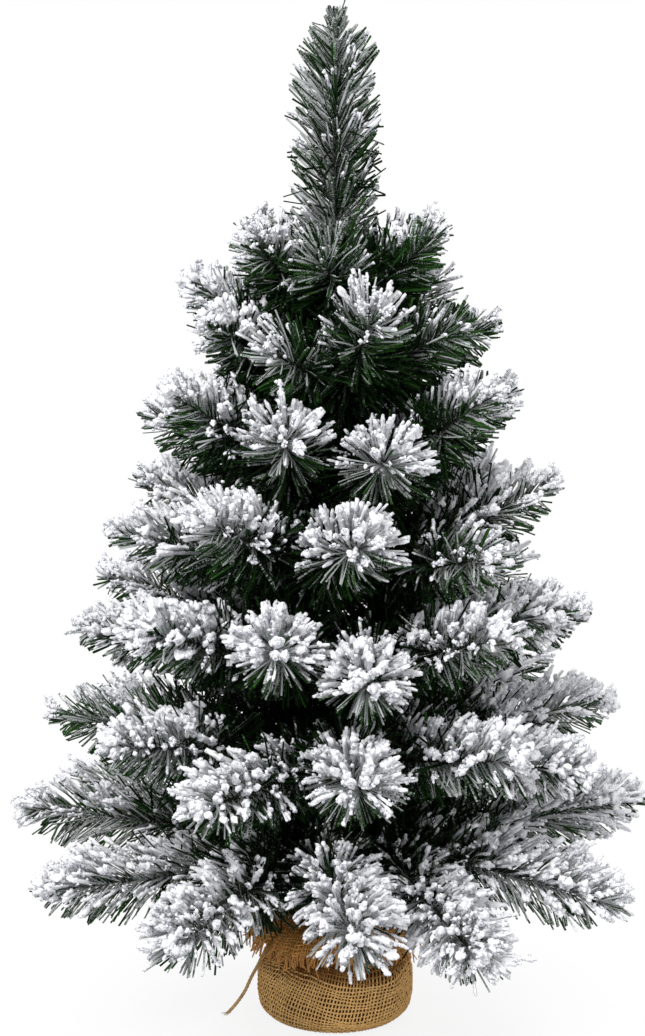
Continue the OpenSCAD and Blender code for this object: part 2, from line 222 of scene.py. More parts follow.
# Finishes of the solids that stay: setting, metal, roughness, scale of the wear, then the nodes
METALWORK = {
    "pole_paint": ("paint", 0.0, 0.45, 60.0, ("trunk_pole",)),
    "stem_wire": ("wire", 0.6, 0.55, 240.0, ("leader_wire",)),
    "hub_plastic": ("hub", 0.0, 0.6, 180.0, ("four_way_hubs", "three_way_hubs")),
    "pin_steel": ("pin", 1.0, 0.4, 300.0, ("hinge_pins",)),
    "cast_cement": ("cement", 0.0, 0.9, 90.0, ("cement_weight",)),
}


# Settings that a user would change
def length_prop(name, about, value):
    return bpy.props.FloatProperty(
        name=name, description=about, default=value, min=0.0, unit="LENGTH", precision=5
    )


def share_prop(name, about, value):
    return bpy.props.FloatProperty(
        name=name, description=about, default=value, min=0.0, max=1.0, subtype="FACTOR"
    )


def number_prop(name, about, value):
    return bpy.props.FloatProperty(name=name, description=about, default=value, min=0.0)


def count_prop(name, about, value, low, high):
    return bpy.props.IntProperty(name=name, description=about, default=value, min=low, max=high)


def angle_prop(name, about, degrees):
    return bpy.props.FloatProperty(
        name=name, description=about, default=math.radians(degrees), subtype="ANGLE"
    )


def colour_prop(name, about, value):
    return bpy.props.FloatVectorProperty(
        name=name, description=about, default=value, size=3, min=0.0, max=1.0, subtype="COLOR"
    )


class NeedleSettings(bpy.types.PropertyGroup):
    length: length_prop("Length", "Usual length of a needle", 0.033)
    past_end: length_prop("Past end", "How far the brush goes on past its wire's end", 0.005)
    width: length_prop("Width", "Width of a needle's cut film", 0.0014)
    slant: angle_prop("Slant", "Angle between a needle and its wire", 50)
    per_metre: number_prop("Per metre", "Needles along a metre of wire", 3200.0)
    bare: length_prop("Bare stem", "Stem left bare at a branch's root", 0.006)
    tuft: share_prop("Tuft", "How far needle ends are drawn together in tufts", 0.78)
    root_fill: count_prop("Root fill", "Extra needles near a branch's root", 480, 0, 2000)
    leader_fill: count_prop("Leader fill", "Extra needles low on the leader", 120, 0, 2000)
    pressed: share_prop("Pressed", "Depth that a brush keeps when its branch is folded", 0.5)
    # The greens also paint shade: needles inside a brush and each needle's root take the darker
    # ones, the outer needles the lighter ones
    shade_green: colour_prop("Shade green", "Darkest film", (0.005, 0.013, 0.004))
    deep_green: colour_prop("Deep green", "Usual film", (0.009, 0.027, 0.006))
    fresh_green: colour_prop("Fresh green", "Lighter film", (0.015, 0.052, 0.009))
    pale_green: colour_prop("Pale green", "Lightest film, near the ends", (0.028, 0.084, 0.015))
    frost: colour_prop("Frost", "Thin flock dusted along the film", (0.46, 0.48, 0.48))


class FlockSettings(bpy.types.PropertyGroup):
    amount: number_prop("Amount", "Flock on all tips together", 1.08)
    sleeve: length_prop("Sleeve radius", "Radius of flock round one needle", 0.0012)
    grain: length_prop("Grain radius", "Radius of a grain of flock", 0.0012)
    lump: length_prop("Lump radius", "Radius of a lump of flock on a tuft", 0.0021)
    white: colour_prop("White", "Flock on its raised parts", (0.92, 0.92, 0.94))
    # Painted shade: flock turns towards this bluish grey in its creases and on its lower sides
    crease_shade: colour_prop("Hollow", "Flock in its creases", (0.36, 0.37, 0.43))


class BurlapSettings(bpy.types.PropertyGroup):
    warp_count: count_prop("Warp yarns", "Upright yarns round the base", 130, 20, 400)
    pitch: length_prop("Weft pitch", "Distance between level yarns", 0.0022)
    yarn_width: length_prop("Yarn width", "Width of a flattened yarn", 0.00120)
    yarn_depth: length_prop("Yarn depth", "Thickness of a flattened yarn", 0.0006)
    fringe: length_prop("Fringe", "Length of the loose threads at the hem", 0.010)
    frayed: colour_prop("Frayed jute", "Loose threads at the hem", (0.64, 0.31, 0.095))
    light: colour_prop("Light jute", "Yarn's raised fibres", (1.0, 0.64, 0.255))
    dark: colour_prop("Dark jute", "Yarn's shaded fibres", (0.50, 0.27, 0.085))
    # Partly painted shade: this dark cloth stands for an inner layer and for the shade seen through
    # the weave
    lining: colour_prop("Lining", "Cloth seen between the yarns", (0.070, 0.029, 0.009))


class TwineSettings(bpy.types.PropertyGroup):
    plies: count_prop("Plies", "Yarns laid together in the twine", 3, 2, 4)
    lay: length_prop("Lay", "Length of one turn of the plies", 0.0075)
    light: colour_prop("Light jute", "Twine's raised fibres", (0.62, 0.42, 0.20))
    dark: colour_prop("Dark jute", "Twine's grooves", (0.28, 0.16, 0.06))


class MetalSettings(bpy.types.PropertyGroup):
    paint: colour_prop("Paint", "Green paint on the pole", (0.020, 0.040, 0.016))
    wire: colour_prop("Wire", "Stem wire", (0.040, 0.042, 0.034))
    hub: colour_prop("Hub", "Moulded hubs", (0.016, 0.032, 0.014))
    pin: colour_prop("Pin", "Hinge pins", (0.50, 0.50, 0.49))
    cement: colour_prop("Cement", "Cast weight", (0.42, 0.41, 0.39))


class StageSettings(bpy.types.PropertyGroup):
    camera_distance: length_prop("Camera distance", "From the pole to the camera", 1.6)
    camera_height: length_prop("Camera height", "Above the table", 0.66)
    aim_height: length_prop("Aim height", "Height that the camera looks at", 0.3033)
    aim_side: bpy.props.FloatProperty(
        name="Aim side", description="Camera's place to the right", default=-0.0075, unit="LENGTH"
    )
    lens: number_prop("Lens", "Focal length in millimetres", 98.2)
    floor: colour_prop("Floor", "Pale floor", (0.72, 0.72, 0.72))
    ambient: number_prop("Ambient", "Light from all round", 0.185)
    key: number_prop("Key", "Power of the main lamp", 50.0)
    fill: number_prop("Fill", "Power of the front lamp", 12.0)
    top: number_prop("Top", "Power of the lamp above", 13.0)
    back: number_prop("Back", "Power of the lamp behind", 40.0)


# Shader maths
class Value:
    """A node's output, so that shader maths reads as plain expressions."""

    def __init__(self, shader, socket):
        self.shader = shader
        self.socket = socket

    def maths(self, operation, *values):
        inputs = dict(enumerate(values))
        return self.shader.node("ShaderNodeMath", {"operation": operation}, inputs)

    def __add__(self, other):
        return self.maths("ADD", self, other)

    def __radd__(self, other):
        return self.maths("ADD", other, self)

    def __sub__(self, other):
        return self.maths("SUBTRACT", self, other)

    def __rsub__(self, other):
        return self.maths("SUBTRACT", other, self)

    def __mul__(self, other):
        return self.maths("MULTIPLY", self, other)

    def __rmul__(self, other):
        return self.maths("MULTIPLY", other, self)

    def fraction(self):
        return self.maths("FRACT", self)

    def within(self, low, high):
        """0 below low, 1 above high and a smooth step between."""
        settings = {"interpolation_type": "SMOOTHSTEP"}
        return self.shader.node("ShaderNodeMapRange", settings, {0: self, 1: low, 2: high})


class Shader:
    """The nodes of one material, or of the world."""

    def __init__(self, owner):
        owner.use_nodes = True
        self.owner, self.tree = owner, owner.node_tree
        self.tree.nodes.clear()

    def node(self, kind, settings=None, inputs=None, output=0):
        """Adds a node, sets its settings, then its sockets' values or links."""
        made = self.tree.nodes.new(kind)
        for key, value in (settings or {}).items():
            if key == "stops":
                self.set_stops(made.color_ramp, value)
            else:
                setattr(made.color_ramp if key == "interpolation" else made, key, value)
        for key, value in (inputs or {}).items():
            if isinstance(value, Value):
                self.tree.links.new(value.socket, made.inputs[key])
            else:
                made.inputs[key].default_value = value
        return Value(self, made.outputs[output]) if made.outputs else None

    @staticmethod
    def set_stops(ramp, stops):
        while len(ramp.elements) < len(stops):
            ramp.elements.new(1.0)
        for element, (place, colour) in zip(ramp.elements, stops):
            element.position = place
            element.color = (*colour, 1.0)

    def mix(self, share, low, high):
        """A colour between two, which are colours or values."""
        full = [c if isinstance(c, Value) else (*c, 1.0) for c in (low, high)]
        return self.node(
            "ShaderNodeMix", {"data_type": "RGBA"}, {0: share, 6: full[0], 7: full[1]}, output=2
        )

    def map_place(self):
        """The two coordinates of the piece's own map, and both as a vector."""
        vector = self.node("ShaderNodeUVMap", {"uv_map": BAKE_MAP})
        along = self.node("ShaderNodeSeparateXYZ", inputs={0: vector})
        across = Value(self, along.socket.node.outputs[1])
        return along, across, vector

    def stretched(self, vector, scale):
        return self.node("ShaderNodeVectorMath", {"operation": "MULTIPLY"}, {0: vector, 1: scale})

    def noise(self, vector, scale, detail=2.0):
        return self.node(
            "ShaderNodeTexNoise", inputs={"Vector": vector, "Scale": scale, "Detail": detail}
        )

    def rays(self, *kinds):
        """1 for a ray of any of these kinds, and 0 for others."""
        path = self.node("ShaderNodeLightPath").socket.node
        found = [Value(self, path.outputs[kind]) for kind in kinds]
        any_kind = found[0]
        for other in found[1:]:
            any_kind = any_kind.maths("MAXIMUM", any_kind, other)
        return any_kind

    def bump(self, height, strength, distance):
        return self.node(
            "ShaderNodeBump", inputs={"Strength": strength, "Distance": distance, "Height": height}
        )

    def surface(self, **sockets):
        """Ends the material in a Principled surface. Names use _ for a space."""
        inputs = {key.replace("_", " "): value for key, value in sockets.items()}
        shade = self.node("ShaderNodeBsdfPrincipled", inputs=inputs)
        self.node("ShaderNodeOutputMaterial", inputs={0: shade})
        return self.owner


def new_finish(name):
    return Shader(bpy.data.materials.new(name))


def needle_film(settings):
    """Green film: each tint is a band of the map, and frost rises across a band. Towards its root a
    needle turns to the shade green, painted shade deep in the brush.
    """
    made = new_finish(NEEDLE_FINISH)
    along, across, place = made.map_place()
    frost = (across * (TINTS / NEEDLE_TOP)).fraction()
    greens = settings.shade_green, settings.deep_green, settings.fresh_green, settings.pale_green
    bands = {
        "stops": [(k / TINTS, tuple(green)) for k, green in enumerate(greens)],
        "interpolation": "CONSTANT",
    }
    tint = made.node("ShaderNodeValToRGB", bands, {0: across * (1 / NEEDLE_TOP)})
    # Painted shade: each needle darkens to the shade green towards its root, deep in the brush
    root = made.mix(along.within(0.0, 0.45), tuple(settings.shade_green), tint)
    grain = made.noise(made.stretched(place, (44.0, 450.0, 0.0)), 1.0, 3.0)
    dust = (frost + (grain - 0.5) * 1.3).within(0.40, 0.66)
    colour = made.mix(dust, root, tuple(settings.frost))
    rough = dust * 0.4 + 0.42
    return made.surface(Base_Color=colour, Roughness=rough, Specular_IOR_Level=0.02)


def snow_flock(settings):
    """White flock with painted shade: its creases and lower sides are low in the map's band and
    turn grey, its raised and upper parts are high and white.
    """
    made = new_finish(FLOCK_FINISH)
    _, across, place = made.map_place()
    height = (across - FLOCK_FOOT) * (1 / FLOCK_SPAN)
    grain = made.noise(made.stretched(place, (40.0, 60.0, 0.0)), 1.0, 3.0)
    # Painted shade: the low part of the band, creases and lower sides, mixes towards the grey
    raised = (height + (grain - 0.5) * 2.0).within(0.05, 0.75)
    colour = made.mix(raised, tuple(settings.crease_shade), tuple(settings.white))
    return made.surface(
        Base_Color=colour,
        Roughness=1.0,
        Specular_IOR_Level=0.05,
        Normal=made.bump(grain, 0.4, 0.0006),
    )


def jute(name, light, dark, twist, strength, zones=()):
    """Spun jute on a tube: fibres slant round it, with lighter and darker lengths.

    Each zone is where along the tube it begins and is full, and the tone from there on: painted
    shade under the ruffle or the ruffle's redder tone.
    """
    made = new_finish(name)
    along, _, place = made.map_place()
    fibres = made.noise(made.stretched(place, (twist, 26.0, 0.0)), 1.0, 4.0)
    lengths = made.noise(made.stretched(place, (twist * 0.12, 3.0, 0.0)), 1.0, 2.0)
    share = (fibres * 0.7 + lengths * 0.6 - 0.15).within(0.2, 0.8)
    colour = made.mix(share, dark, light)
    for begin, full, tone in zones:
        other = made.mix(share, toned(dark, tone), toned(light, tone))
        colour = made.mix(along.within(begin, full), colour, other)
    return made.surface(
        Base_Color=colour,
        Roughness=0.9,
        Specular_IOR_Level=0.2,
        Normal=made.bump(fibres, strength, 0.0003),
    )


def toned(colour, tone):
    return tuple(c * t for c, t in zip(colour, tone))


def lining_cloth(settings):
    """Dark cloth behind the yarns, partly an inner layer and partly painted shade seen through the
    weave, with a fine weave of its own.
    """
    made = new_finish("burlap_lining")
    up_it = made.map_place()[1]
    weave = made.noise(made.node("ShaderNodeTexCoord", output=3), 900.0, 2.0)
    lining, ruffle = tuple(settings.lining), toned(tuple(settings.dark), RUFFLE_TONE)
    cloth = made.mix(up_it.within(*RUFFLE_SHARES), lining, ruffle)
    return made.surface(
        Base_Color=made.mix(weave.within(0.3, 0.7) * 0.4, cloth, (0.0, 0.0, 0.0)),
        Roughness=0.95,
        Specular_IOR_Level=0.1,
        Normal=made.bump(weave, 0.3, 0.0004),
    )


def worn_metal(name, colour, metallic, roughness, scale):
    """Paint, plastic, wire or cement, with cloudy wear and a fine tooth."""
    made = new_finish(name)
    place = made.node("ShaderNodeTexCoord", output=3)
    cloud = made.noise(place, scale, 4.0)
    tooth = made.noise(place, scale * 9, 2.0)
    dark = tuple(0.55 * c for c in colour)
    pale = tuple(min(1.0, 1.35 * c) for c in colour)
    return made.surface(
        Base_Color=made.mix(cloud.within(0.3, 0.7), dark, pale),
        Roughness=cloud * 0.2 + (roughness - 0.1),
        Metallic=metallic,
        Normal=made.bump(tooth, 0.2, 0.0002),
    )


# Meshes
def unit(v):
    return v / np.maximum(np.linalg.norm(v, axis=-1, keepdims=True), 1e-12)


def inset(share):
    """A share of the map, kept a little off its two edges."""
    return 0.02 + 0.96 * share


def spokes(first, second, angles):
    """Directions at angles round an axis, from two that are square to it: one more dimension."""
    ways = first[..., None, :] * np.cos(angles)[:, None]
    return ways + second[..., None, :] * np.sin(angles)[:, None]


def even_angles(count):
    """Angles in even steps round a full turn."""
    return np.arange(count) * (FULL_TURN / count)


def smooth_step(low, high, x):
    t = np.clip((x - low) / (high - low), 0.0, 1.0)
    return t * t * (3 - 2 * t)


class Patches:
    """Smooth random field: a sum of a few waves in seeded directions."""

    WAVES, RATE = 7, 2.2

    def __init__(self, rng, size):
        self.ways = rng.normal(size=(self.WAVES, 3)) * (self.RATE / size)
        self.starts = rng.uniform(0, FULL_TURN, self.WAVES)

    def at(self, points):
        waves = np.cos(points @ self.ways.T + self.starts)
        return waves.sum(-1) / math.sqrt(self.WAVES)


class Solids:
    """Many small solids gathered into one mesh, with corner maps and materials."""

    def __init__(self):
        self.points, self.corners, self.counts = [], [], []
        self.maps, self.slots, self.smooth = [], [], []
        self.size = 0

    def add(self, points, faces, places, slot, smooth=True):
        """points (n, 3), faces as arrays (m, k) of indices, and the map's place of each corner."""
        self.points.append(points.reshape(-1, 3))
        for group, place in zip(faces, places):
            self.corners.append((group + self.size).ravel())
            self.counts.append(np.full(len(group), group.shape[1]))
            self.maps.append(place.reshape(-1, 2))
            self.slots.append(np.full(len(group), slot))
            self.smooth.append(np.full(len(group), smooth))
        self.size += len(points.reshape(-1, 3))

    def add_mapped(self, points, faces, places, slot):
        """The same with one place on the map for each point."""
        flat = places.reshape(-1, 2)
        self.add(points, faces, [flat[group.ravel()] for group in faces], slot)

    def add_tubes(self, points, places, slot, closed=False):
        """points (n, rings, sides, 3): n capped tubes, or n closed rings without caps."""
        self.add_mapped(points, self.tube_faces(points, closed), places, slot)

    def add_prisms(self, points, places, slot):
        """Capped tubes with flat sides, each side with its own places (n, rings, sides, 2)."""
        faces = self.tube_faces(points, False)
        low, high = places[:, :-1], places[:, 1:]
        sides = np.stack([low, low, high, high], 3)
        ends = [places[:, 0, ::-1], places[:, -1]]
        self.add(points, faces, [sides, *ends], slot, smooth=False)

    @staticmethod
    def tube_faces(points, closed):
        n, rings, sides = points.shape[:3]
        index = np.arange(n * rings * sides).reshape(n, rings, sides)
        ahead = np.roll(index, -1, axis=1) if closed else index[:, 1:]
        here = index if closed else index[:, :-1]
        turn_here, turn_ahead = np.roll(here, -1, axis=2), np.roll(ahead, -1, axis=2)
        faces = [np.stack([here, turn_here, turn_ahead, ahead], -1).reshape(-1, 4)]
        if not closed:
            faces += [index[:, 0, ::-1].reshape(n, sides), index[:, -1].reshape(n, sides)]
        return faces

    def build(self, name, materials):
        """One object of all that was added."""
        mesh = bpy.data.meshes.new(name)
        points = np.concatenate(self.points).astype(np.float32)
        corners = np.concatenate(self.corners).astype(np.int32)
        counts = np.concatenate(self.counts)
        starts = np.concatenate([[0], np.cumsum(counts)[:-1]]).astype(np.int32)
        mesh.vertices.add(len(points))
        mesh.vertices.foreach_set("co", points.ravel())
        mesh.loops.add(len(corners))
        mesh.loops.foreach_set("vertex_index", corners)
        mesh.polygons.add(len(counts))
        mesh.polygons.foreach_set("loop_start", starts)
        mesh.polygons.foreach_set("material_index", np.concatenate(self.slots).astype(np.int32))
        mesh.polygons.foreach_set("use_smooth", np.concatenate(self.smooth))
        layer = mesh.uv_layers.new(name=BAKE_MAP)
        layer.data.foreach_set("uv", np.concatenate(self.maps).astype(np.float32).ravel())
        mesh.update(calc_edges=True)
        for material in materials:
            mesh.materials.append(material)
        if mesh.validate():
            raise RuntimeError(f"{name} has faces that don't hold together")
        made = bpy.data.objects.new(name, mesh)
        bpy.context.scene.collection.objects.link(made)
        return made


@lru_cache
def ball_shape(steps):
    """Points and triangles of a unit ball."""
    work = bmesh.new()
    bmesh.ops.create_icosphere(work, subdivisions=steps, radius=1.0)
    points = np.array([v.co[:] for v in work.verts])
    faces = np.array([[v.index for v in f.verts] for f in work.faces])
    work.free()
    return points, faces


def random_turns(rng, count):
    """Rotation matrices (count, 3, 3), spread evenly."""
    q = unit(rng.normal(size=(count, 4)))
    w, x, y, z = q.T
    return np.stack(
        [
            np.stack([1 - 2 * (y * y + z * z), 2 * (x * y - z * w), 2 * (x * z + y * w)], -1),
            np.stack([2 * (x * y + z * w), 1 - 2 * (x * x + z * z), 2 * (y * z - x * w)], -1),
            np.stack([2 * (x * z - y * w), 2 * (y * z + x * w), 1 - 2 * (x * x + y * y)], -1),
        ],
        1,
    )


def square_frame(ways, rng):
    """Two directions square to each of many ways, turned at random about it."""
    side = unit(np.cross(ways, np.where(np.abs(ways[:, 2:]) < 0.9, UP, [1.0, 0.0, 0.0])))
    other = np.cross(ways, side)
    turn = rng.uniform(0, FULL_TURN, len(ways))[:, None]
    return (
        np.cos(turn) * side + np.sin(turn) * other,
        np.cos(turn) * other - np.sin(turn) * side,
    )


@dataclass
class Tip:
    """One wire tip, and how its brush differs from the usual one."""

    # The wire's two ends, the stem left bare at its root and the extra needles there
    start: np.ndarray
    end: np.ndarray
    bare: float
    fill: int
    # Usual length of its needles, and how much flock it has
    reach: float
    flock: float
    # How far its end hangs below its straight wire
    droop: float = 0.0
    # Needles against their usual number
    crowd: float = 1.0
    # Share of the stem before the flock begins
    clear: float = 0.10
    # Length of its rounded end against the needles', and how much shorter they get towards it
    nose: float = 0.5
    taper: float = 0.06
    # Thin frost beyond the usual
    dust: float = 0.0
    # How much further it goes on past its wire, if it is at the left or right
    slim_past: float = 0.0
    # How far round it the flock comes, beyond the usual
    turned_up: float = 0.0


class Brush:
    """The needles of one wire tip, and the flock that lies on them."""

    # Extra needles near the root: the share of the stem, the most length and the crowding there
    FILL_SHARE, FILL_RUN, FILL_CROWDING = 0.75, 0.085, 1.2
    # They stand further out from the stem, as a range of the usual slant
    FILL_SLANT = (1.2, 2.25)
    # Tips at the left and right are slimmer and darker, those at the front and back are fuller
    SIDE_TAPER, SIDE_SHADE, FRONT_LONGER = 0.40, 0.30, 0.12
    # Needles bunched at the end, as a share of their length, and how far they close over it
    END_BUNCH, END_CLOSING = 0.25, 0.85
    # Length of the needles straight ahead and straight down that is kept or lost
    AHEAD_KEPT, DOWN_LOST = 0.56, 0.22
    LENGTHS = (0.86, 1.06)
    TURN_SPREAD, SLANT_SPREAD = 0.3, 0.07
    ROOT_OUT = 0.6 * MM
    # A tip this close to the pole faces no side
    UPRIGHT_WITHIN = 5 * MM
    # Flock falls from above and a little from outside, in patches of this size
    FROM_ABOVE, FROM_OUTSIDE = 0.85, 0.30
    PATCH = 17 * MM
    # Needles to a tuft, and how near a needle's end is to its tuft where the pull is whole or none
    TUFT_COUNT = 7
    TUFT_NEAR, TUFT_FAR = 4 * MM, 16 * MM
    # Places along a needle, its width there and how flat its cut film is
    NEEDLE_SHARES = np.array([0.0, 0.55, 1.0])
    NEEDLE_WIDTHS = np.array([0.70, 1.0, 1.0])
    NEEDLE_SIDES, FILM_FLAT = 3, 0.62
    # Width along a sleeve of flock, and the share of a needle that it covers
    SLEEVE_SWELL = (0.4, 0.95, 0.8, 1.15, 0.8)
    SLEEVE_COVER, SLEEVE_SIDES = 0.46, 4
    # Lumps on tufts and on piles: radius against the usual, and how much longer along the needle
    TUFT_LUMP, PILE_LUMP = (0.85, 0.6), (1.12, 0.2)
    # Size of the bumps on a lump
    LUMP_ROUGH = 2.6 * MM
    # Grains heaped on a needle, and how far they lie from it against their radius
    GRAINS, GRAIN_SCATTER = 8, 0.80
    # Steps of roundness of a grain's ball and of a lump's
    GRAIN_STEPS, LUMP_STEPS = 1, 2

    def __init__(self, rng, tip, settings):
        self.rng, self.tip, self.settings = rng, tip, settings
        self.wire = unit(tip.end - tip.start)
        outward = np.array([tip.end[0], tip.end[1], 0.0])
        upright = np.linalg.norm(outward) <= self.UPRIGHT_WITHIN
        self.outward = np.zeros(3) if upright else unit(outward)
        self.side, self.front = self.outward[0] ** 2, self.outward[1] ** 2
        straight = np.linalg.norm(tip.end - tip.start) + settings.past_end
        self.run = straight + self.side * tip.slim_past
        self.wind()
        self.aim()
        self.grow()
        self.gather()
        self.settle()

    def wind(self):
        """Places of the needles along the wire: those wound in, then the extra ones at its root."""
        rng, tip, run = self.rng, self.tip, self.run
        bunched = run - tip.bare + self.END_BUNCH * tip.reach
        wound = int(tip.crowd * self.settings.per_metre * bunched)
        self.count = wound + tip.fill
        place = tip.bare + bunched * (np.arange(wound) + rng.random(wound)) / wound
        filled = min(self.FILL_SHARE * (run - tip.bare), self.FILL_RUN)
        extra = tip.bare + rng.random(tip.fill) ** self.FILL_CROWDING * filled
        self.place = np.concatenate([np.minimum(place, run), extra])
        self.filler = np.arange(self.count) >= wound
        nose = tip.nose * tip.reach
        uneven = rng.uniform(-0.2, 0.1, self.count) * nose
        self.closing = smooth_step(run - nose, run, self.place + uneven)

    def aim(self):
        """Directions of the needles: round the wire in turn, and closing over its end."""
        rng, count, wire, usual = self.rng, self.count, self.wire, self.settings.slant
        turn = np.arange(count) * GOLDEN_TURN + rng.normal(0, self.TURN_SPREAD, count)
        first = UP - wire * (UP @ wire)
        first = unit(first if np.linalg.norm(first) > 0.1 else np.array([0.0, -1.0, 0.0]))
        second = np.cross(wire, first)
        self.out = np.cos(turn)[:, None] * first + np.sin(turn)[:, None] * second
        slant = usual * (1 - self.END_CLOSING * self.closing * rng.random(count) ** 0.7)
        slant = np.where(self.filler, usual * rng.uniform(*self.FILL_SLANT, count), slant)
        self.slant = slant + rng.normal(0, self.SLANT_SPREAD, count)
        self.way = unit(np.cos(self.slant)[:, None] * wire + np.sin(self.slant)[:, None] * self.out)

    def grow(self):
        """Lengths, roots and bends. Needles get shorter at the end, so that it is a dome."""
        rng, tip, run, count = self.rng, self.tip, self.run, self.count
        spread = np.clip(np.sin(self.slant) / math.sin(self.settings.slant), 0, 1)
        dome = self.AHEAD_KEPT + (1 - self.AHEAD_KEPT) * spread**2
        taper = tip.taper + self.SIDE_TAPER * self.side
        thin = 1 - taper * smooth_step(run - 1.3 * tip.reach, run, self.place)
        below = 1 - self.DOWN_LOST * smooth_step(0.0, 1.0, -self.out @ UP)
        longest = tip.reach * (1 + self.FRONT_LONGER * self.front)
        self.long = longest * dome * thin * below * rng.uniform(*self.LENGTHS, count)
        sag = -UP * (tip.droop * smooth_step(0.25, 1.1, self.place / run))[:, None]
        self.root = tip.start + self.wire * self.place[:, None] + self.out * self.ROOT_OUT + sag
        ahead, down = rng.normal(0.08, 0.08, count), rng.uniform(0, 0.08, count)
        self.bend = (self.wire * ahead[:, None] - UP * down[:, None]) * self.long[:, None]

    def gather(self):
        """Bends each needle's end towards a guide needle near it, so that they stand in tufts."""
        tips = self.at(np.ones(self.count))
        guides = self.guides = self.rng.permutation(self.count)[: self.count // self.TUFT_COUNT]
        gaps = np.linalg.norm(tips[:, None] - tips[guides][None], axis=2)
        nearest = gaps.argmin(1)
        share = self.settings.tuft * smooth_step(self.TUFT_FAR, self.TUFT_NEAR, gaps.min(1))
        self.bend = self.bend + (tips[guides][nearest] - tips) * share[:, None]

    def settle(self):
        """Flock lies on a tip's outer part, where it faces up, and not on the extra needles."""
        tip, side, wound = self.tip, self.side, ~self.filler
        faced = unit(self.out * 0.9 + self.wire * (0.20 + 0.8 * self.closing)[:, None])
        fall = unit(self.FROM_ABOVE * UP + self.FROM_OUTSIDE * (1 - side) * self.outward)
        exposed = faced @ fall + tip.turned_up
        patch = Patches(self.rng, self.PATCH).at(self.at(np.ones(self.count)))
        self.lit = smooth_step(-0.60, 0.60, exposed) * (1 - self.SIDE_SHADE * side)
        self.outer = smooth_step(tip.clear, tip.clear + 0.56, self.place / self.run) * wound
        snow = tip.flock * (0.05 + 0.95 * smooth_step(-0.60, 0.85, exposed))
        snow = snow * (0.25 + 0.80 * self.outer)
        snow = snow + (0.15 + 0.20 * side) * patch * (0.3 + tip.flock)
        self.snow = np.clip(snow, 0, 1.15) * wound
        self.near = self.closing * wound

    def at(self, share, pick=slice(None)):
        """Points at a share of each needle's length, along its bend."""
        share = np.asarray(share)[..., None]
        straight = self.way[pick] * self.long[pick, None] * share
        return self.root[pick] + straight + self.bend[pick] * share**2

    def tubes(self, pick, shares, sides, flat=1.0):
        """Middles (n, rings, 3) and spokes (n, sides, 3) of tubes along picked needles."""
        middle = np.stack([self.at(shares[:, k], pick) for k in range(shares.shape[1])], 1)
        side, other = square_frame(self.way[pick], self.rng)
        return middle, spokes(side, flat * other, even_angles(sides))

    def needles(self, solids):
        """Adds a blade of film for each needle, with its tint and its frost on the map."""
        rng, count = self.rng, self.count
        shares = np.broadcast_to(self.NEEDLE_SHARES, (count, len(self.NEEDLE_SHARES)))
        widths = self.NEEDLE_WIDTHS * self.settings.width / 2
        middle, spoke = self.tubes(np.arange(count), shares, self.NEEDLE_SIDES, self.FILM_FLAT)
        size = rng.uniform(0.8, 1.2, count)[:, None, None, None] * widths[None, :, None, None]
        points = middle[:, :, None] + size * spoke[:, None]
        # Frost lies on the sides that face up
        facing = unit(spoke + np.roll(spoke, -1, axis=1)) @ UP
        facing = facing + rng.normal(0, 0.45, (count, self.NEEDLE_SIDES))
        outer = self.outer[:, None, None]
        dust = self.tip.dust
        cover = 0.155 + dust + (0.15 + 0.10 * self.tip.flock) * self.lit
        cover = cover * (0.30 + 0.70 * self.outer)
        cover = cover + 0.22 * self.snow + 0.16 * self.front * self.near
        ends = np.clip(0.9 * self.snow - 0.15, -0.15, 0.45)
        frost = (
            (cover + rng.normal(0, 0.12, count))[:, None, None]
            + (0.20 + 0.14 * outer) * facing[:, None, :]
            + (ends[:, None] * (shares - 0.5))[:, :, None]
        )
        # Tint: random tone, and painted shade that leaves needles inside the brush in the darker
        # greens
        tone_and_inner_shade = 0.7 + (2.1 - 0.8 * self.lit) * self.outer - 3 * dust + rng.normal(0, 0.8, count)
        tint = np.clip(np.floor(tone_and_inner_shade), 0, TINTS - 1)[:, None, None]
        in_band = BAND_EDGE + (1 - 2 * BAND_EDGE) * np.clip(frost, 0, 1)
        high = (tint + in_band) * (NEEDLE_TOP / TINTS)
        along = np.broadcast_to(inset(shares)[:, :, None], high.shape)
        solids.add_prisms(points, np.stack([along, high], -1), FILM)

    def sleeves(self, solids, pick, radius):
        """Lumpy flock round the outer part of single needles."""
        rng, n, rings, sides = self.rng, len(pick), len(self.SLEEVE_SWELL), self.SLEEVE_SIDES
        if not n:
            return
        snow = np.clip(self.snow[pick], 0, 1)
        cover = self.SLEEVE_COVER * (0.35 + 0.85 * snow) + rng.normal(0, 0.08, n)
        begin = 1 - np.clip(cover, 0.10, 0.72)[:, None]
        shares = begin + (1.04 - begin) * np.linspace(0, 1, rings) ** 0.85
        middle, spoke = self.tubes(pick, shares, sides)
        thick = radius * (0.58 + 0.48 * snow) * rng.uniform(0.75, 1.25, n)
        lump = rng.uniform(0.75, 1.25, (n, rings, sides)) * rng.uniform(0.72, 1.28, (n, rings, 1))
        size = thick[:, None, None] * np.asarray(self.SLEEVE_SWELL)[None, :, None] * lump
        points = middle[:, :, None] + size[..., None] * spoke[:, None]
        points = points + UP * (0.25 * thick * snow)[:, None, None, None]
        # Painted shade: dents and downward sides get a low place in the flock's band and turn grey,
        # upward sides a high one
        height = 0.36 + 0.32 * snow[:, None, None] + 0.8 * (lump - 1)
        height = height + 0.25 * (spoke @ UP)[:, None]
        along = np.arange(rings)[:, None] / rings + np.array([0.0, 0.1, 0.2, 0.1])
        self.add_flock(solids, points, height, np.broadcast_to(along, height.shape))

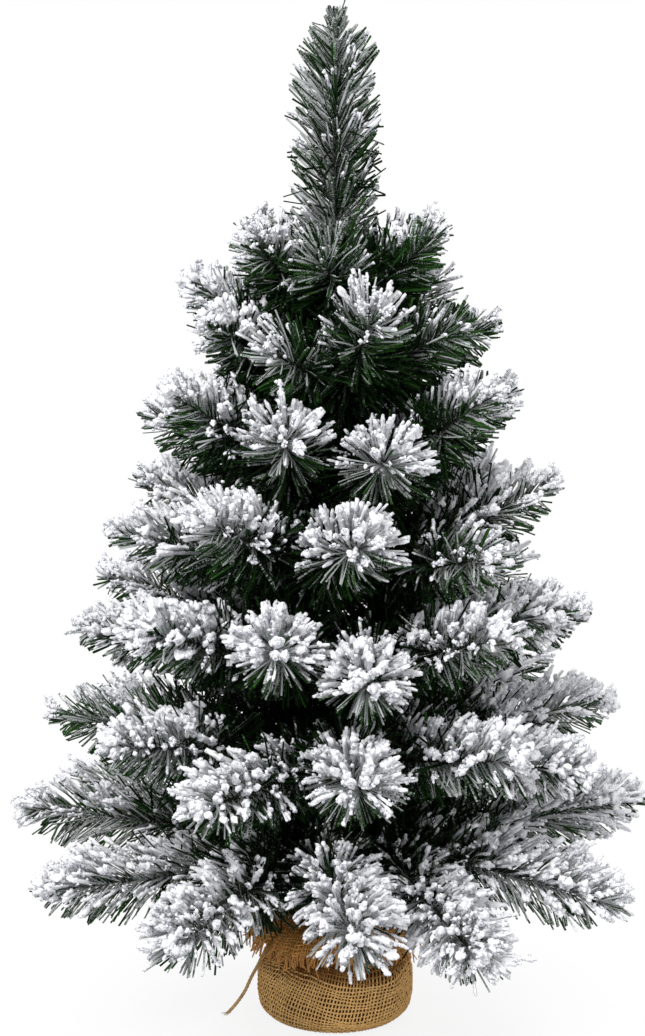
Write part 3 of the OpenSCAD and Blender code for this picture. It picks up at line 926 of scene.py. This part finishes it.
    def grains(self, solids, pick, radius):
        """Small grains of flock heaped along the outer part of picked needles."""
        if not len(pick):
            return
        rng, pick = self.rng, np.repeat(pick, self.GRAINS)
        n, (ball_points, ball_faces) = len(pick), ball_shape(self.GRAIN_STEPS)
        snow = np.clip(self.snow[pick], 0, 1)
        share = 1.02 - (0.22 + 0.30 * snow) * rng.random(n) ** 1.15
        size = radius * (0.55 + 0.45 * snow) * rng.uniform(0.6, 1.25, n)
        middle = self.at(share, pick) + rng.normal(0, self.GRAIN_SCATTER, (n, 3)) * size[:, None]
        middle = middle + UP * (0.45 * size * snow)[:, None]
        turned = np.einsum("nij,vj->nvi", random_turns(rng, n), ball_points)
        relief = rng.uniform(0.5, 1.4, (n, len(ball_points)))
        points = middle[:, None] + turned * (relief * size[:, None])[..., None]
        # Painted shade: pressed-in points and lower sides of a grain are low in the flock's band
        # and turn grey
        height = 0.45 + 0.6 * (relief - 1) + 0.25 * turned[..., 2]
        self.add_flock(solids, points, height, 0.25 + 0.25 * turned[..., 0], ball_faces)

    def lumps(self, solids, pick, radius, longer):
        """One rough lump of flock on each picked needle's outer part, made longer along it."""
        rng, n = self.rng, len(pick)
        ball_points, ball_faces = ball_shape(self.LUMP_STEPS)
        if not n:
            return
        snow = np.clip(self.snow[pick], 0, 1)
        size = radius * (0.45 + 0.55 * snow) * rng.uniform(0.7, 1.2, n)
        uneven = ball_points * rng.uniform(0.65, 1.25, (n, 1, 3))
        turned = np.einsum("nij,nvj->nvi", random_turns(rng, n), uneven)
        way = self.way[pick][:, None]
        stretch = longer * np.einsum("nvi,nxi->nv", turned, way)[..., None] * way
        middle = self.at(rng.uniform(0.78, 0.92, n), pick) + UP * (0.3 * size * snow)[:, None]
        rough = Patches(rng, self.LUMP_ROUGH).at(middle[:, None] + turned * size[:, None, None])
        relief = np.clip(1 + 0.26 * rough + rng.normal(0, 0.20, rough.shape), 0.45, 1.7)
        points = middle[:, None] + (turned + stretch) * (relief * size[:, None])[..., None]
        # Painted shade: pressed-in points and lower sides of a lump are low in the flock's band and
        # turn grey
        height = 0.52 + 0.9 * (relief - 1) + 0.25 * turned[..., 2]
        self.add_flock(solids, points, height, 0.5 + 0.5 * turned[..., 0], ball_faces)

    def dress(self, solids, snow):
        """Adds the needles, then sleeves of flock on many and lumps of it on some tufts."""
        self.needles(solids)
        luck = self.rng.random((2, self.count))
        sleeved = np.flatnonzero(self.snow > 0.25 + 0.42 * luck[0])
        heaped = np.flatnonzero((self.snow > 0.42) & (luck[1] < 0.48))
        tufted = self.guides[self.snow[self.guides] > 0.42 + 0.25 * luck[0][self.guides]]
        piled = np.flatnonzero((self.snow > 0.64 + 0.25 * luck[0]) & (luck[1] > 0.46))
        self.sleeves(solids, sleeved, snow.sleeve)
        for pick, (share, longer) in ((tufted, self.TUFT_LUMP), (piled, self.PILE_LUMP)):
            self.lumps(solids, pick, share * snow.lump, longer)
        self.grains(solids, heaped, snow.grain)

    def add_flock(self, solids, points, height, along, faces=None):
        """Adds bits of flock: height and along place a point in the flock's band of the map, where
        a low height is painted shade.
        """
        high = FLOCK_FOOT + FLOCK_SPAN * (0.04 + 0.92 * np.clip(height, 0, 1))
        start = self.rng.uniform(0.03, 0.55, len(points))
        start = start.reshape((-1,) + (1,) * (high.ndim - 1))
        places = np.stack([start + 0.40 * along, high], -1)
        if faces is None:
            solids.add_tubes(points, places, FLOCK)
        else:
            offset = np.arange(len(points))[:, None, None] * points.shape[1]
            solids.add_mapped(points, [(faces[None] + offset).reshape(-1, 3)], places, FLOCK)


# Frame readings
def solids_of(node):
    """The points of each separate solid in a CAD node."""
    mesh = frame["nodes"][node].data
    points = np.empty(len(mesh.vertices) * 3, np.float32)
    mesh.vertices.foreach_get("co", points)
    edges = np.empty(len(mesh.edges) * 2, np.int32)
    mesh.edges.foreach_get("vertices", edges)
    spots, same = np.unique(np.round(points.reshape(-1, 3), 6), axis=0, return_inverse=True)
    ends = same.ravel()[edges.reshape(-1, 2)]
    label = np.arange(len(spots))
    while True:
        low = label.copy()
        np.minimum.at(low, ends[:, 0], label[ends[:, 1]])
        np.minimum.at(low, ends[:, 1], label[ends[:, 0]])
        low = low[low]
        if (low == label).all():
            return [spots[label == k].astype(float) for k in np.unique(label)]
        label = low


def wire_lines(branch, hinge):
    """Start and end of each wire of a branch, from its solids: the hinged one first."""
    lines = []
    for points in solids_of(branch + "_wires"):
        middle = points.mean(0)
        way = np.linalg.svd(points - middle, full_matrices=False)[2][0]
        along = (points - middle) @ way
        ends = [
            points[along < along.min() + END_SLICE].mean(0),
            points[along > along.max() - END_SLICE].mean(0),
        ]
        ends.sort(key=lambda p: np.linalg.norm(p - hinge))
        lines.append(ends)
    lines.sort(key=lambda e: np.linalg.norm(e[0] - hinge))
    lines[0][0] = hinge
    return lines


def by_bearing(marks, end):
    """A value at a tip, from marks of bearing and value round the tree."""
    bearing = math.degrees(math.atan2(end[0], -end[1]))
    places, values = zip(*marks)
    return float(np.interp(bearing, places, values, period=360))


def paint(nodes, material):
    for name in nodes:
        slots = frame["nodes"][name].data.materials
        slots.clear()
        slots.append(material)


# Burlap
class Cloth:
    """The burlap's surface, by angle round the pole and share of its section."""

    def __init__(self):
        rows = np.array(CLOTH_SECTION)
        steps = np.concatenate([[0], np.cumsum(np.hypot(*np.diff(rows[:, :2], axis=0).T))])
        self.run = steps[-1] * MM
        fine = np.linspace(0, 1, 400)
        table = np.stack([np.interp(fine, steps / steps[-1], rows[:, k]) for k in range(4)], 1)
        ease = np.hanning(15)
        padded = np.pad(table, ((7, 7), (0, 0)), mode="edge")
        ease = ease / ease.sum()
        smooth = np.stack([np.convolve(column, ease, "valid") for column in padded.T], 1)
        self.fine, self.table = fine, smooth * MM
        rng = np.random.default_rng(CLOTH_SEED)
        self.pleats = [(count, rng.uniform(0, FULL_TURN)) for count in CLOTH_PLEATS]

    def at(self, angle, share):
        """Points of the cloth, with its broad waves, fine pleats and its hem's ups and downs."""
        radius, height, wave, pleat = (
            np.interp(share, self.fine, self.table[:, k]) for k in range(4)
        )
        ripple = sum(np.cos(c * angle + s + 3 * share) for c, s in self.pleats) / 2
        uneven = 0.8 * np.sin(2 * angle + 1.0)
        broad = np.cos(CLOTH_WAVES * (angle - CLOTH_WAVE_AT) + uneven)
        r = radius + wave * broad + pleat * ripple
        droop = -0.5 * wave * np.cos(3 * angle + 0.6) * (share > 0.6)
        return np.stack([r * np.cos(angle), r * np.sin(angle), height + droop], -1)

    def lean(self, angle, share):
        """Where an upright yarn goes round the base, as the cloth is pulled on the bias."""
        pulled = smooth_step(0.22, 0.52, share)
        return angle + pulled * (0.30 + 0.12 * np.cos(2 * angle - 0.3))

    def slope(self, angle, share):
        """Where a level yarn goes up the base, for the same reason."""
        belly = smooth_step(0.24, 0.32, share) * smooth_step(0.56, 0.44, share)
        return share + 0.028 * belly * np.sin(2 * angle + 0.7)

    def normal(self, angle, share):
        e = 1e-3
        round_it = self.at(angle + e, share) - self.at(angle - e, share)
        up_it = self.at(angle, np.minimum(share + e, 1)) - self.at(angle, np.maximum(share - e, 0))
        return unit(np.cross(round_it, up_it))


def ribbon_tubes(paths, normals, width, depth, sides, closed):
    """Flattened tubes along many paths (n, points, 3), their depth along the normals."""
    if closed:
        way = np.roll(paths, -1, axis=1) - np.roll(paths, 1, axis=1)
    else:
        way = np.gradient(paths, axis=1)
    way = unit(way)
    side = unit(np.cross(way, normals))
    up = np.cross(side, way)
    around = even_angles(sides) + math.pi / sides
    reach = spokes(side * width[..., None] / 2, up * depth[..., None] / 2, around)
    return paths[:, :, None] + reach


def tube_piece(name, points, places, finish):
    """A piece of capped tubes with one finish."""
    solids = Solids()
    solids.add_tubes(points, places, 0)
    return solids.build(name, [finish])


def curled(root, run, way, curl, steps):
    """Lines (n, steps, 3) of threads that leave their roots one way and curl another."""
    shares = np.linspace(0, 1, steps)[None, :, None]
    return root[:, None] + run[:, None, None] * (way[:, None] * shares + curl[:, None] * shares**2)


def tube_map(n, rings, sides, rng, closed=False):
    """Places on the map for n tubes: along, and round from a start of their own."""
    along = inset(np.linspace(0, 1, rings))
    if closed:
        along = inset(np.abs(1 - 2 * np.arange(rings) / rings))
    start = rng.uniform(0.02, 0.90, n)
    high = start[:, None, None] + 0.07 * np.abs(1 - 2 * np.arange(sides) / sides)
    return np.stack(np.broadcast_arrays(along[None, :, None], high), -1)


def laid_path(points, step):
    """A smooth curve through points, with steps of about that length."""
    points = np.asarray(points, float)
    padded = np.concatenate([[2 * points[0] - points[1]], points, [2 * points[-1] - points[-2]]])
    found = []
    for a, b, c, d in zip(padded, padded[1:], padded[2:], padded[3:]):
        t = np.linspace(0, 1, max(2, int(np.linalg.norm(c - b) / step)), endpoint=False)[:, None]
        square, cube = 2 * a - 5 * b + 4 * c - d, 3 * b - a - 3 * c + d
        found.append(0.5 * (2 * b + (c - a) * t + square * t**2 + cube * t**3))
    return np.concatenate([*found, points[-1:]])


def plied_tube(path, plies, lay):
    """A twine's surface: plies twisted together along a path."""
    way = unit(np.gradient(path, axis=0))
    run = np.concatenate([[0], np.cumsum(np.linalg.norm(np.diff(path, axis=0), axis=1))])
    side = unit(np.cross(way, UP + np.array([0.0, 0.01, 0.0])))
    up = np.cross(side, way)
    around = even_angles(TWINE_SIDES)
    twist = FULL_TURN * run / lay
    groove = np.abs(np.cos(plies / 2 * (around[None] - twist[:, None])))
    radius = TWINE_D / 2 * (1 - TWINE_GROOVE + TWINE_GROOVE * groove)
    return path[:, None] + radius[..., None] * spokes(side, up, around), run, groove


# Operators
class FIR_OT_stage(bpy.types.Operator):
    """Make the camera, the lamps, the white surroundings and the pale floor"""

    bl_idname = "fir.stage"
    bl_label = "Stage"

    def execute(self, context):
        scene, settings = context.scene, context.scene.fir_stage
        scene.view_settings.view_transform = "Standard"
        self.camera(scene, settings)
        self.surroundings(scene, settings)
        self.floor(scene, settings)
        for name, power, place, size in LAMPS:
            self.lamp(scene, name, place, getattr(settings, power), size)
        return {"FINISHED"}

    def camera(self, scene, settings):
        data = bpy.data.cameras.new("photo_camera")
        data.lens = settings.lens
        camera = bpy.data.objects.new("photo_camera", data)
        camera.location = (settings.aim_side, -settings.camera_distance, settings.camera_height)
        aim = Vector((settings.aim_side, 0.0, settings.aim_height)) - camera.location
        camera.rotation_euler = aim.to_track_quat("-Z", "Y").to_euler()
        scene.collection.objects.link(camera)
        scene.camera = camera

    def surroundings(self, scene, settings):
        """White where it is seen, and a soft light from all round elsewhere."""
        scene.world = bpy.data.worlds.new("white_surroundings")
        made = Shader(scene.world)
        shown = made.rays("Is Camera Ray", "Is Glossy Ray", "Is Transmission Ray")
        seen = made.node("ShaderNodeBackground", inputs={0: WHITE, 1: 1.0})
        unseen = made.node("ShaderNodeBackground", inputs={0: SKY_TINT, 1: settings.ambient})
        both = made.node("ShaderNodeMixShader", inputs={0: shown, 1: unseen, 2: seen})
        made.node("ShaderNodeOutputWorld", inputs={0: both})

    def floor(self, scene, settings):
        made = new_finish("pale_floor")
        place = made.node("ShaderNodeTexCoord", output=3)
        away = made.node("ShaderNodeVectorMath", {"operation": "LENGTH"}, {0: place}, output=1)
        open_floor = away.within(*SHADOW_REACH) * SHADOW_SHARE + (1 - SHADOW_SHARE)
        shown = made.rays("Is Camera Ray", "Is Glossy Ray") * open_floor
        matte = made.node("ShaderNodeBsdfDiffuse", inputs={0: (*settings.floor, 1.0)})
        white = made.node("ShaderNodeEmission", inputs={0: WHITE, 1: 1.0})
        both = made.node("ShaderNodeMixShader", inputs={0: shown, 1: matte, 2: white})
        made.node("ShaderNodeOutputMaterial", inputs={0: both})
        mesh = bpy.data.meshes.new("floor")
        far = FLOOR_HALF
        corners = [(-far, -far, 0), (far, -far, 0), (far, far, 0), (-far, far, 0)]
        mesh.from_pydata(corners, [], [(0, 1, 2, 3)])
        mesh.materials.append(made.owner)
        floor = bpy.data.objects.new("floor", mesh)
        scene.collection.objects.link(floor)

    def lamp(self, scene, name, place, power, size):
        data = bpy.data.lights.new(name, "AREA")
        data.energy, data.size = power, size
        lamp = bpy.data.objects.new(name, data)
        lamp.location = place
        lamp.rotation_euler = (LAMP_AIM - lamp.location).to_track_quat("-Z", "Y").to_euler()
        scene.collection.objects.link(lamp)


class FIR_OT_twine(bpy.types.Operator):
    """Wind the twine round the neck and lay its loose end"""

    bl_idname = "fir.twine"
    bl_label = "Twine"
    # Widths along a loose fibre, the range of its length and where it begins, in millimetres
    FIBRE_WIDTHS = (0.32, 0.28, 0.22, 0.12)
    FIBRE_RUN = (2.5, 5.0)
    FIBRE_ROOT, FIBRE_SCATTER = 1.5, 0.35
    # How far fibres spread to the side, and their least height above the table in millimetres
    FIBRE_SPREAD, FIBRE_LOWEST = 0.35, 0.4

    def execute(self, context):
        settings = context.scene.fir_twine
        light, dark = tuple(settings.light), tuple(settings.dark)
        finish = jute("twine_jute", light, dark, TWINE_FIBRES, TWINE_BUMP)
        turns = np.linspace(0, NECK_TURNS, NECK_TURNS * NECK_STEPS + 1)
        angle = math.pi - FULL_TURN * turns
        across, away = NECK_WIND_R * np.cos(angle), NECK_WIND_R * np.sin(angle)
        winding = np.stack([across, away, NECK_WIND_Z + NECK_PITCH * turns], -1)
        self.twine("twine_neck", winding, settings, finish, "twine_winding")
        path = laid_path(TAIL_ROUTE, TWINE_STEP)
        tail = self.twine("twine_loose_end", path, settings, finish, "twine_tail")
        brush = self.frayed_end(path, finish)
        return {"FINISHED"}

    def twine(self, name, path, settings, finish, node):
        points, run, groove = plied_tube(path, settings.plies, settings.lay)
        along = np.broadcast_to(inset(run / run[-1])[:, None], groove.shape)
        places = np.stack([along, 0.05 + 0.9 * groove], -1)
        made = tube_piece(name, points[None], places[None], finish)
        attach(made, "trunk")
        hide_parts(node)
        return made

    def frayed_end(self, path, finish):
        """Loose fibres past the twine's cut end."""
        rng, count = np.random.default_rng(FIBRE_SEED), LOOSE_FIBRES
        way = unit(path[-1] - path[-6])
        spread = rng.normal(0, self.FIBRE_SPREAD, (count, 3))
        spread[:, 2] = np.abs(spread[:, 2])
        scatter = rng.normal(0, self.FIBRE_SCATTER * MM, (count, 3))
        root = path[-1] - way * self.FIBRE_ROOT * MM + scatter
        run = rng.uniform(*self.FIBRE_RUN, count) * MM
        ways = np.broadcast_to(way, spread.shape)
        lines = curled(root, run, ways, spread, len(self.FIBRE_WIDTHS))
        lines[..., 2] = np.maximum(lines[..., 2], self.FIBRE_LOWEST * MM)
        width = np.broadcast_to(np.array(self.FIBRE_WIDTHS) * MM, lines.shape[:2])
        normals = np.broadcast_to(UP + 0.01, lines.shape)
        points = ribbon_tubes(lines, normals, width, width, 3, False)
        made = tube_piece("twine_frayed_fibres", points, tube_map(*points.shape[:3], rng), finish)
        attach(made, "trunk")
        return made


class FIR_OT_burlap(bpy.types.Operator):
    """Wrap the weight in woven burlap, gathered at the neck with a frayed ruffle"""

    bl_idname = "fir.burlap"
    bl_label = "Burlap"
    # Loose threads from each warp yarn, their widths along them in millimetres and their flatness
    THREADS = 4
    THREAD_WIDTHS = (0.9, 1.1, 1.1, 1.0, 0.65)
    THREAD_FLAT = 0.8
    # How far a thread starts above the hem, as a share of the section, and how far it leans out
    THREAD_FOOT, THREAD_LEAN = 0.012, 0.32
    # How far warp and weft yarns stray, against the distance between them
    SWAY, WAVER = 0.35, 0.3
    # The lining's columns and rows, and where its rows lie under the weight and start up the wall
    LINING_COLUMNS, LINING_ROWS = 180, 106
    LINING_UNDER, LINING_WALL = (0.012, 0.1), 0.17
    # The lining's distance from the middle of the yarns, and its thickness
    LINING_BEHIND, LINING_THICK = 0.5 * MM, 0.4 * MM

    def execute(self, context):
        settings = context.scene.fir_burlap
        cloth = Cloth()
        light, dark = tuple(settings.light), tuple(settings.dark)
        # Zones along the warp and finishes of the level yarns: painted shade on the yarns under the
        # ruffle, and the ruffle's own redder tone on it
        zones = []
        for shares, tone in ((PAINTED_SHADE_SHARES, PAINTED_SHADE_TONE), (RUFFLE_SHARES, RUFFLE_TONE)):
            begin, full = ((share - WOVEN_FROM) / (HEM_SHARE - WOVEN_FROM) for share in shares)
            zones.append((begin, full, tone))
        upright = jute("warp_jute", light, dark, YARN_FIBRES, YARN_BUMP, zones)
        tones = {"weft_jute": (1, 1, 1), "shaded_jute": PAINTED_SHADE_TONE, "ruffle_jute": RUFFLE_TONE}
        level = [
            jute(name, toned(light, tone), toned(dark, tone), YARN_FIBRES, YARN_BUMP)
            for name, tone in tones.items()
        ]
        lining = self.lining(cloth, settings)
        rows = np.arange(WOVEN_FROM, HEM_SHARE, settings.pitch / cloth.run)
        angles = even_angles(settings.warp_count)
        warp = self.warp(cloth, settings, angles, rows, upright)
        weft = self.weft(cloth, settings, angles, rows, level)
        frayed = jute("frayed_jute", tuple(settings.frayed), dark, FRAYED_FIBRES, YARN_BUMP)
        fringe = self.fringe(cloth, settings, angles, frayed)
        return {"FINISHED"}

    def dress(self, made):
        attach(made, "trunk")
        return made

    def lining(self, cloth, settings):
        """A closed cloth behind the yarns, inside the wrap and under its ruffle. Inside the wrap
        its dark colour is partly painted shade seen between the yarns.
        """
        wall = np.linspace(self.LINING_WALL, HEM_SHARE, self.LINING_ROWS)
        share = np.concatenate([self.LINING_UNDER, wall])
        angles, shares = np.meshgrid(even_angles(self.LINING_COLUMNS), share, indexing="ij")
        behind = np.where(shares < NECK_SHARE, -1.0, 1.0)[..., None] * self.LINING_BEHIND
        inner = cloth.at(angles, shares) + behind * cloth.normal(angles, shares)
        solids = Solids()
        index = np.arange(angles.size).reshape(angles.shape)
        ahead = np.roll(index, -1, axis=0)
        quads = np.stack([index[:, :-1], ahead[:, :-1], ahead[:, 1:], index[:, 1:]], -1)
        places = np.stack([angles / FULL_TURN, shares], -1)
        solids.add_mapped(inner, [quads.reshape(-1, 4), index[::-1, 0][None]], places, 0)
        made = solids.build("burlap_lining", [lining_cloth(settings)])
        thick = made.modifiers.new("cloth_thickness", "SOLIDIFY")
        thick.thickness, thick.offset = self.LINING_THICK, -1.0
        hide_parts("burlap_wrap")
        return self.dress(made)

    def wander(self, rng, size, angle, height):
        """Smooth random shifts of the yarns, by angle round the base and by height."""
        spots = np.broadcast_arrays(np.cos(angle), np.sin(angle), height)
        return Patches(rng, size).at(np.stack(spots, -1))

    def yarns(self, cloth, settings, rng, turn, place, side, closed):
        """Tubes of yarns that start over or under the first they cross, and their map's places."""
        count, steps = turn.shape
        over = side * np.cos(math.pi * (np.arange(steps)[None] / 2 + np.arange(count)[:, None]))
        normals = cloth.normal(turn, place)
        paths = cloth.at(turn, place) + normals * (over * CRIMP * settings.yarn_depth)[..., None]
        width = settings.yarn_width * rng.uniform(0.82, 1.12, (count, 1))
        width = width * rng.uniform(0.9, 1.1, turn.shape)
        depth = np.full(turn.shape, settings.yarn_depth)
        points = ribbon_tubes(paths, normals, width, depth, YARN_SIDES, closed)
        return points, tube_map(count, steps, YARN_SIDES, rng, closed)

    def warp(self, cloth, settings, angles, rows, finish):
        rng = np.random.default_rng(WARP_SEED)
        shares = np.interp(np.arange(2 * len(rows) - 1) / 2, np.arange(len(rows)), rows)
        sway = self.SWAY * (FULL_TURN / len(angles))
        turn = angles[:, None] + sway * self.wander(rng, 0.4, angles[:, None], 3 * shares[None])
        place = np.broadcast_to(shares, turn.shape)
        turn = cloth.lean(turn, place)
        points, places = self.yarns(cloth, settings, rng, turn, place, 1, False)
        return self.dress(tube_piece("burlap_warp_yarns", points, places, finish))

    def weft(self, cloth, settings, angles, rows, finishes):
        rng = np.random.default_rng(WEFT_SEED)
        turn = even_angles(2 * len(angles))
        waver = self.WAVER * settings.pitch / cloth.run
        place = rows[:, None] + waver * self.wander(rng, 0.5, turn[None], 20 * rows[:, None])
        place = cloth.slope(turn, np.minimum(place, 1.0))
        turn = cloth.lean(np.broadcast_to(turn, place.shape), place)
        points, places = self.yarns(cloth, settings, rng, turn, place, -1, True)
        # Level yarns under the ruffle get the painted shade finish, those on the ruffle its redder
        # one
        zone = np.digitize(rows, (np.mean(PAINTED_SHADE_SHARES), np.mean(RUFFLE_SHARES)))
        solids = Solids()
        for k in range(len(finishes)):
            solids.add_tubes(points[zone == k], places[zone == k], k, closed=True)
        return self.dress(solids.build("burlap_weft_yarns", finishes))

    def fringe(self, cloth, settings, angles, finish):
        """Loose threads that hang from the ruffle's hem, a few from each warp yarn."""
        rng, each = np.random.default_rng(FRINGE_SEED), self.THREADS
        turn = np.repeat(angles, each) + rng.normal(0, 0.010, len(angles) * each)
        turn = cloth.lean(turn, 1.0)
        count, level = len(turn), np.zeros(len(turn))
        hem = cloth.at(turn, np.full(count, HEM_SHARE - self.THREAD_FOOT))
        out = np.stack([np.cos(turn), np.sin(turn), level], -1)
        along = np.stack([-np.sin(turn), np.cos(turn), level], -1)
        run = settings.fringe * rng.uniform(0.65, 1.12, count)
        tuft = np.repeat(rng.normal(0, 0.22, (len(angles), 2)), each, axis=0)
        tuft = tuft + rng.normal(0, 0.15, (count, 2))
        way = unit(-UP + out * (self.THREAD_LEAN + 0.6 * tuft[:, :1]) + along * tuft[:, 1:])
        curl = rng.normal(0, 0.22, (count, 3))
        lines = curled(hem, run, way, curl, len(self.THREAD_WIDTHS))
        width = np.array(self.THREAD_WIDTHS) * rng.uniform(0.7, 1.2, (count, 1)) * MM
        normals = np.broadcast_to(out[:, None], lines.shape)
        flat = self.THREAD_FLAT * width
        points = ribbon_tubes(lines, normals, width, flat, YARN_SIDES, False)
        places = tube_map(*points.shape[:3], rng)
        return self.dress(tube_piece("burlap_hem_fringe", points, places, finish))


class FIR_OT_metalwork(bpy.types.Operator):
    """Give the pole, hubs, pins, stems and weight their finishes"""

    bl_idname = "fir.metalwork"
    bl_label = "Metalwork"

    def execute(self, context):
        settings = context.scene.fir_metal
        stems = tuple(n for n in frame["nodes"] if n.endswith("_wires"))
        for name, (setting, metallic, roughness, scale, nodes) in METALWORK.items():
            colour = tuple(getattr(settings, setting))
            finish = worn_metal(name, colour, metallic, roughness, scale)
            paint(stems + nodes if name == "stem_wire" else nodes, finish)
        return {"FINISHED"}


class FIR_OT_branches(bpy.types.Operator):
    """Dress every hinged branch with needles and flock"""

    bl_idname = "fir.branches"
    bl_label = "Branches"

    def execute(self, context):
        needles, snow = context.scene.fir_needles, context.scene.fir_flock
        finishes = [needle_film(needles), snow_flock(snow)]
        for number, joint in enumerate(frame["joints"]):
            branch = joint["child"]
            tier = int(branch[len("tier")]) - 1
            hinge = np.array(joint["pos_m"])
            solids = Solids()
            lines = wire_lines(branch, hinge)
            for k, line in enumerate(lines):
                rng = np.random.default_rng(BRANCH_SEED + 10 * number + k)
                tip = self.tip(tier, line, k > 0, needles, snow)
                Brush(rng, tip, needles).dress(solids, snow)
            made = solids.build(branch + "_foliage", finishes)
            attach(made, branch)
            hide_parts(branch + "_needles")
            across = np.cross(np.array(joint["axis"]), unit(lines[0][1] - hinge))
            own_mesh(made)
        return {"FINISHED"}

    def tip(self, tier, line, forked, needles, snow):
        """A wire tip of a tier, counted from 0. A forked one starts on the branch's first wire."""
        bare, fill = needles.bare, needles.root_fill
        if forked:
            bare, fill = FORK_BARE, fill // FORK_FEWER
        flock = by_bearing(FLOCK_ROUND[tier], line[1]) * snow.amount
        return Tip(
            *line, bare, fill, needles.length * NEEDLE_SHARE[tier], flock,
            droop=by_bearing(TIP_DROOP, line[1]) if tier == 0 else 0.0,
            crowd=CROWD[tier],
            dust=DUST[tier] * (DUST_KEPT + (1 - DUST_KEPT) * flock),
            slim_past=SLIM_PAST[tier],
            turned_up=TURNED_UP[tier],
        )


class FIR_OT_leader(bpy.types.Operator):
    """Dress the upright leader at the top"""

    bl_idname = "fir.leader"
    bl_label = "Leader"

    def execute(self, context):
        needles, snow = context.scene.fir_needles, context.scene.fir_flock
        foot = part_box("trunk_pole")[1][2] - LEADER_BELOW
        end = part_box("leader_wire")[1][2] + LEADER_ABOVE
        reach = needles.length * LEADER_SHARE
        tip = Tip(
            foot * UP, end * UP, 0.0, needles.leader_fill, reach, LEADER_FLOCK,
            crowd=LEADER_CROWD, clear=-0.5, nose=0.6, taper=0.60, dust=LEADER_DUST,
        )
        brush = Brush(np.random.default_rng(LEADER_SEED), tip, needles)
        # Little flock stays on the upright end
        brush.snow = brush.snow * (1 - LEADER_SHED * brush.near)
        solids = Solids()
        brush.dress(solids, snow)
        finishes = [bpy.data.materials[NEEDLE_FINISH], bpy.data.materials[FLOCK_FINISH]]
        made = solids.build("leader_foliage", finishes)
        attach(made, "trunk")
        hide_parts("leader_needles")
        return {"FINISHED"}


OPERATORS = (
    FIR_OT_stage,
    FIR_OT_twine,
    FIR_OT_burlap,
    FIR_OT_metalwork,
    FIR_OT_branches,
    FIR_OT_leader,
)
GROUPS = {
    "fir_needles": NeedleSettings,
    "fir_flock": FlockSettings,
    "fir_burlap": BurlapSettings,
    "fir_twine": TwineSettings,
    "fir_metal": MetalSettings,
    "fir_stage": StageSettings,
}


class FIR_PT_panel(bpy.types.Panel):
    """Lists the fir's settings and the steps that make it"""

    bl_idname = "FIR_PT_panel"
    bl_label = "Tabletop Fir"
    bl_space_type = "VIEW_3D"
    bl_region_type = "UI"
    bl_category = "Fir"

    def draw(self, context):
        for name in GROUPS:
            group = getattr(context.scene, name)
            box = self.layout.box()
            for key in group.__annotations__:
                box.prop(group, key)
        for operator in OPERATORS:
            self.layout.operator(operator.bl_idname)


def register():
    for kind in (*GROUPS.values(), *OPERATORS, FIR_PT_panel):
        bpy.utils.register_class(kind)
    for name, kind in GROUPS.items():
        setattr(bpy.types.Scene, name, bpy.props.PointerProperty(type=kind))


def unregister():
    for name in GROUPS:
        delattr(bpy.types.Scene, name)
    for kind in reversed((*GROUPS.values(), *OPERATORS, FIR_PT_panel)):
        bpy.utils.unregister_class(kind)


def main():
    """Makes the whole scene."""
    register()
    for operator in OPERATORS:
        group, step = operator.bl_idname.split(".")
        getattr(getattr(bpy.ops, group), step)()


if __name__ == "__main__":
    main()
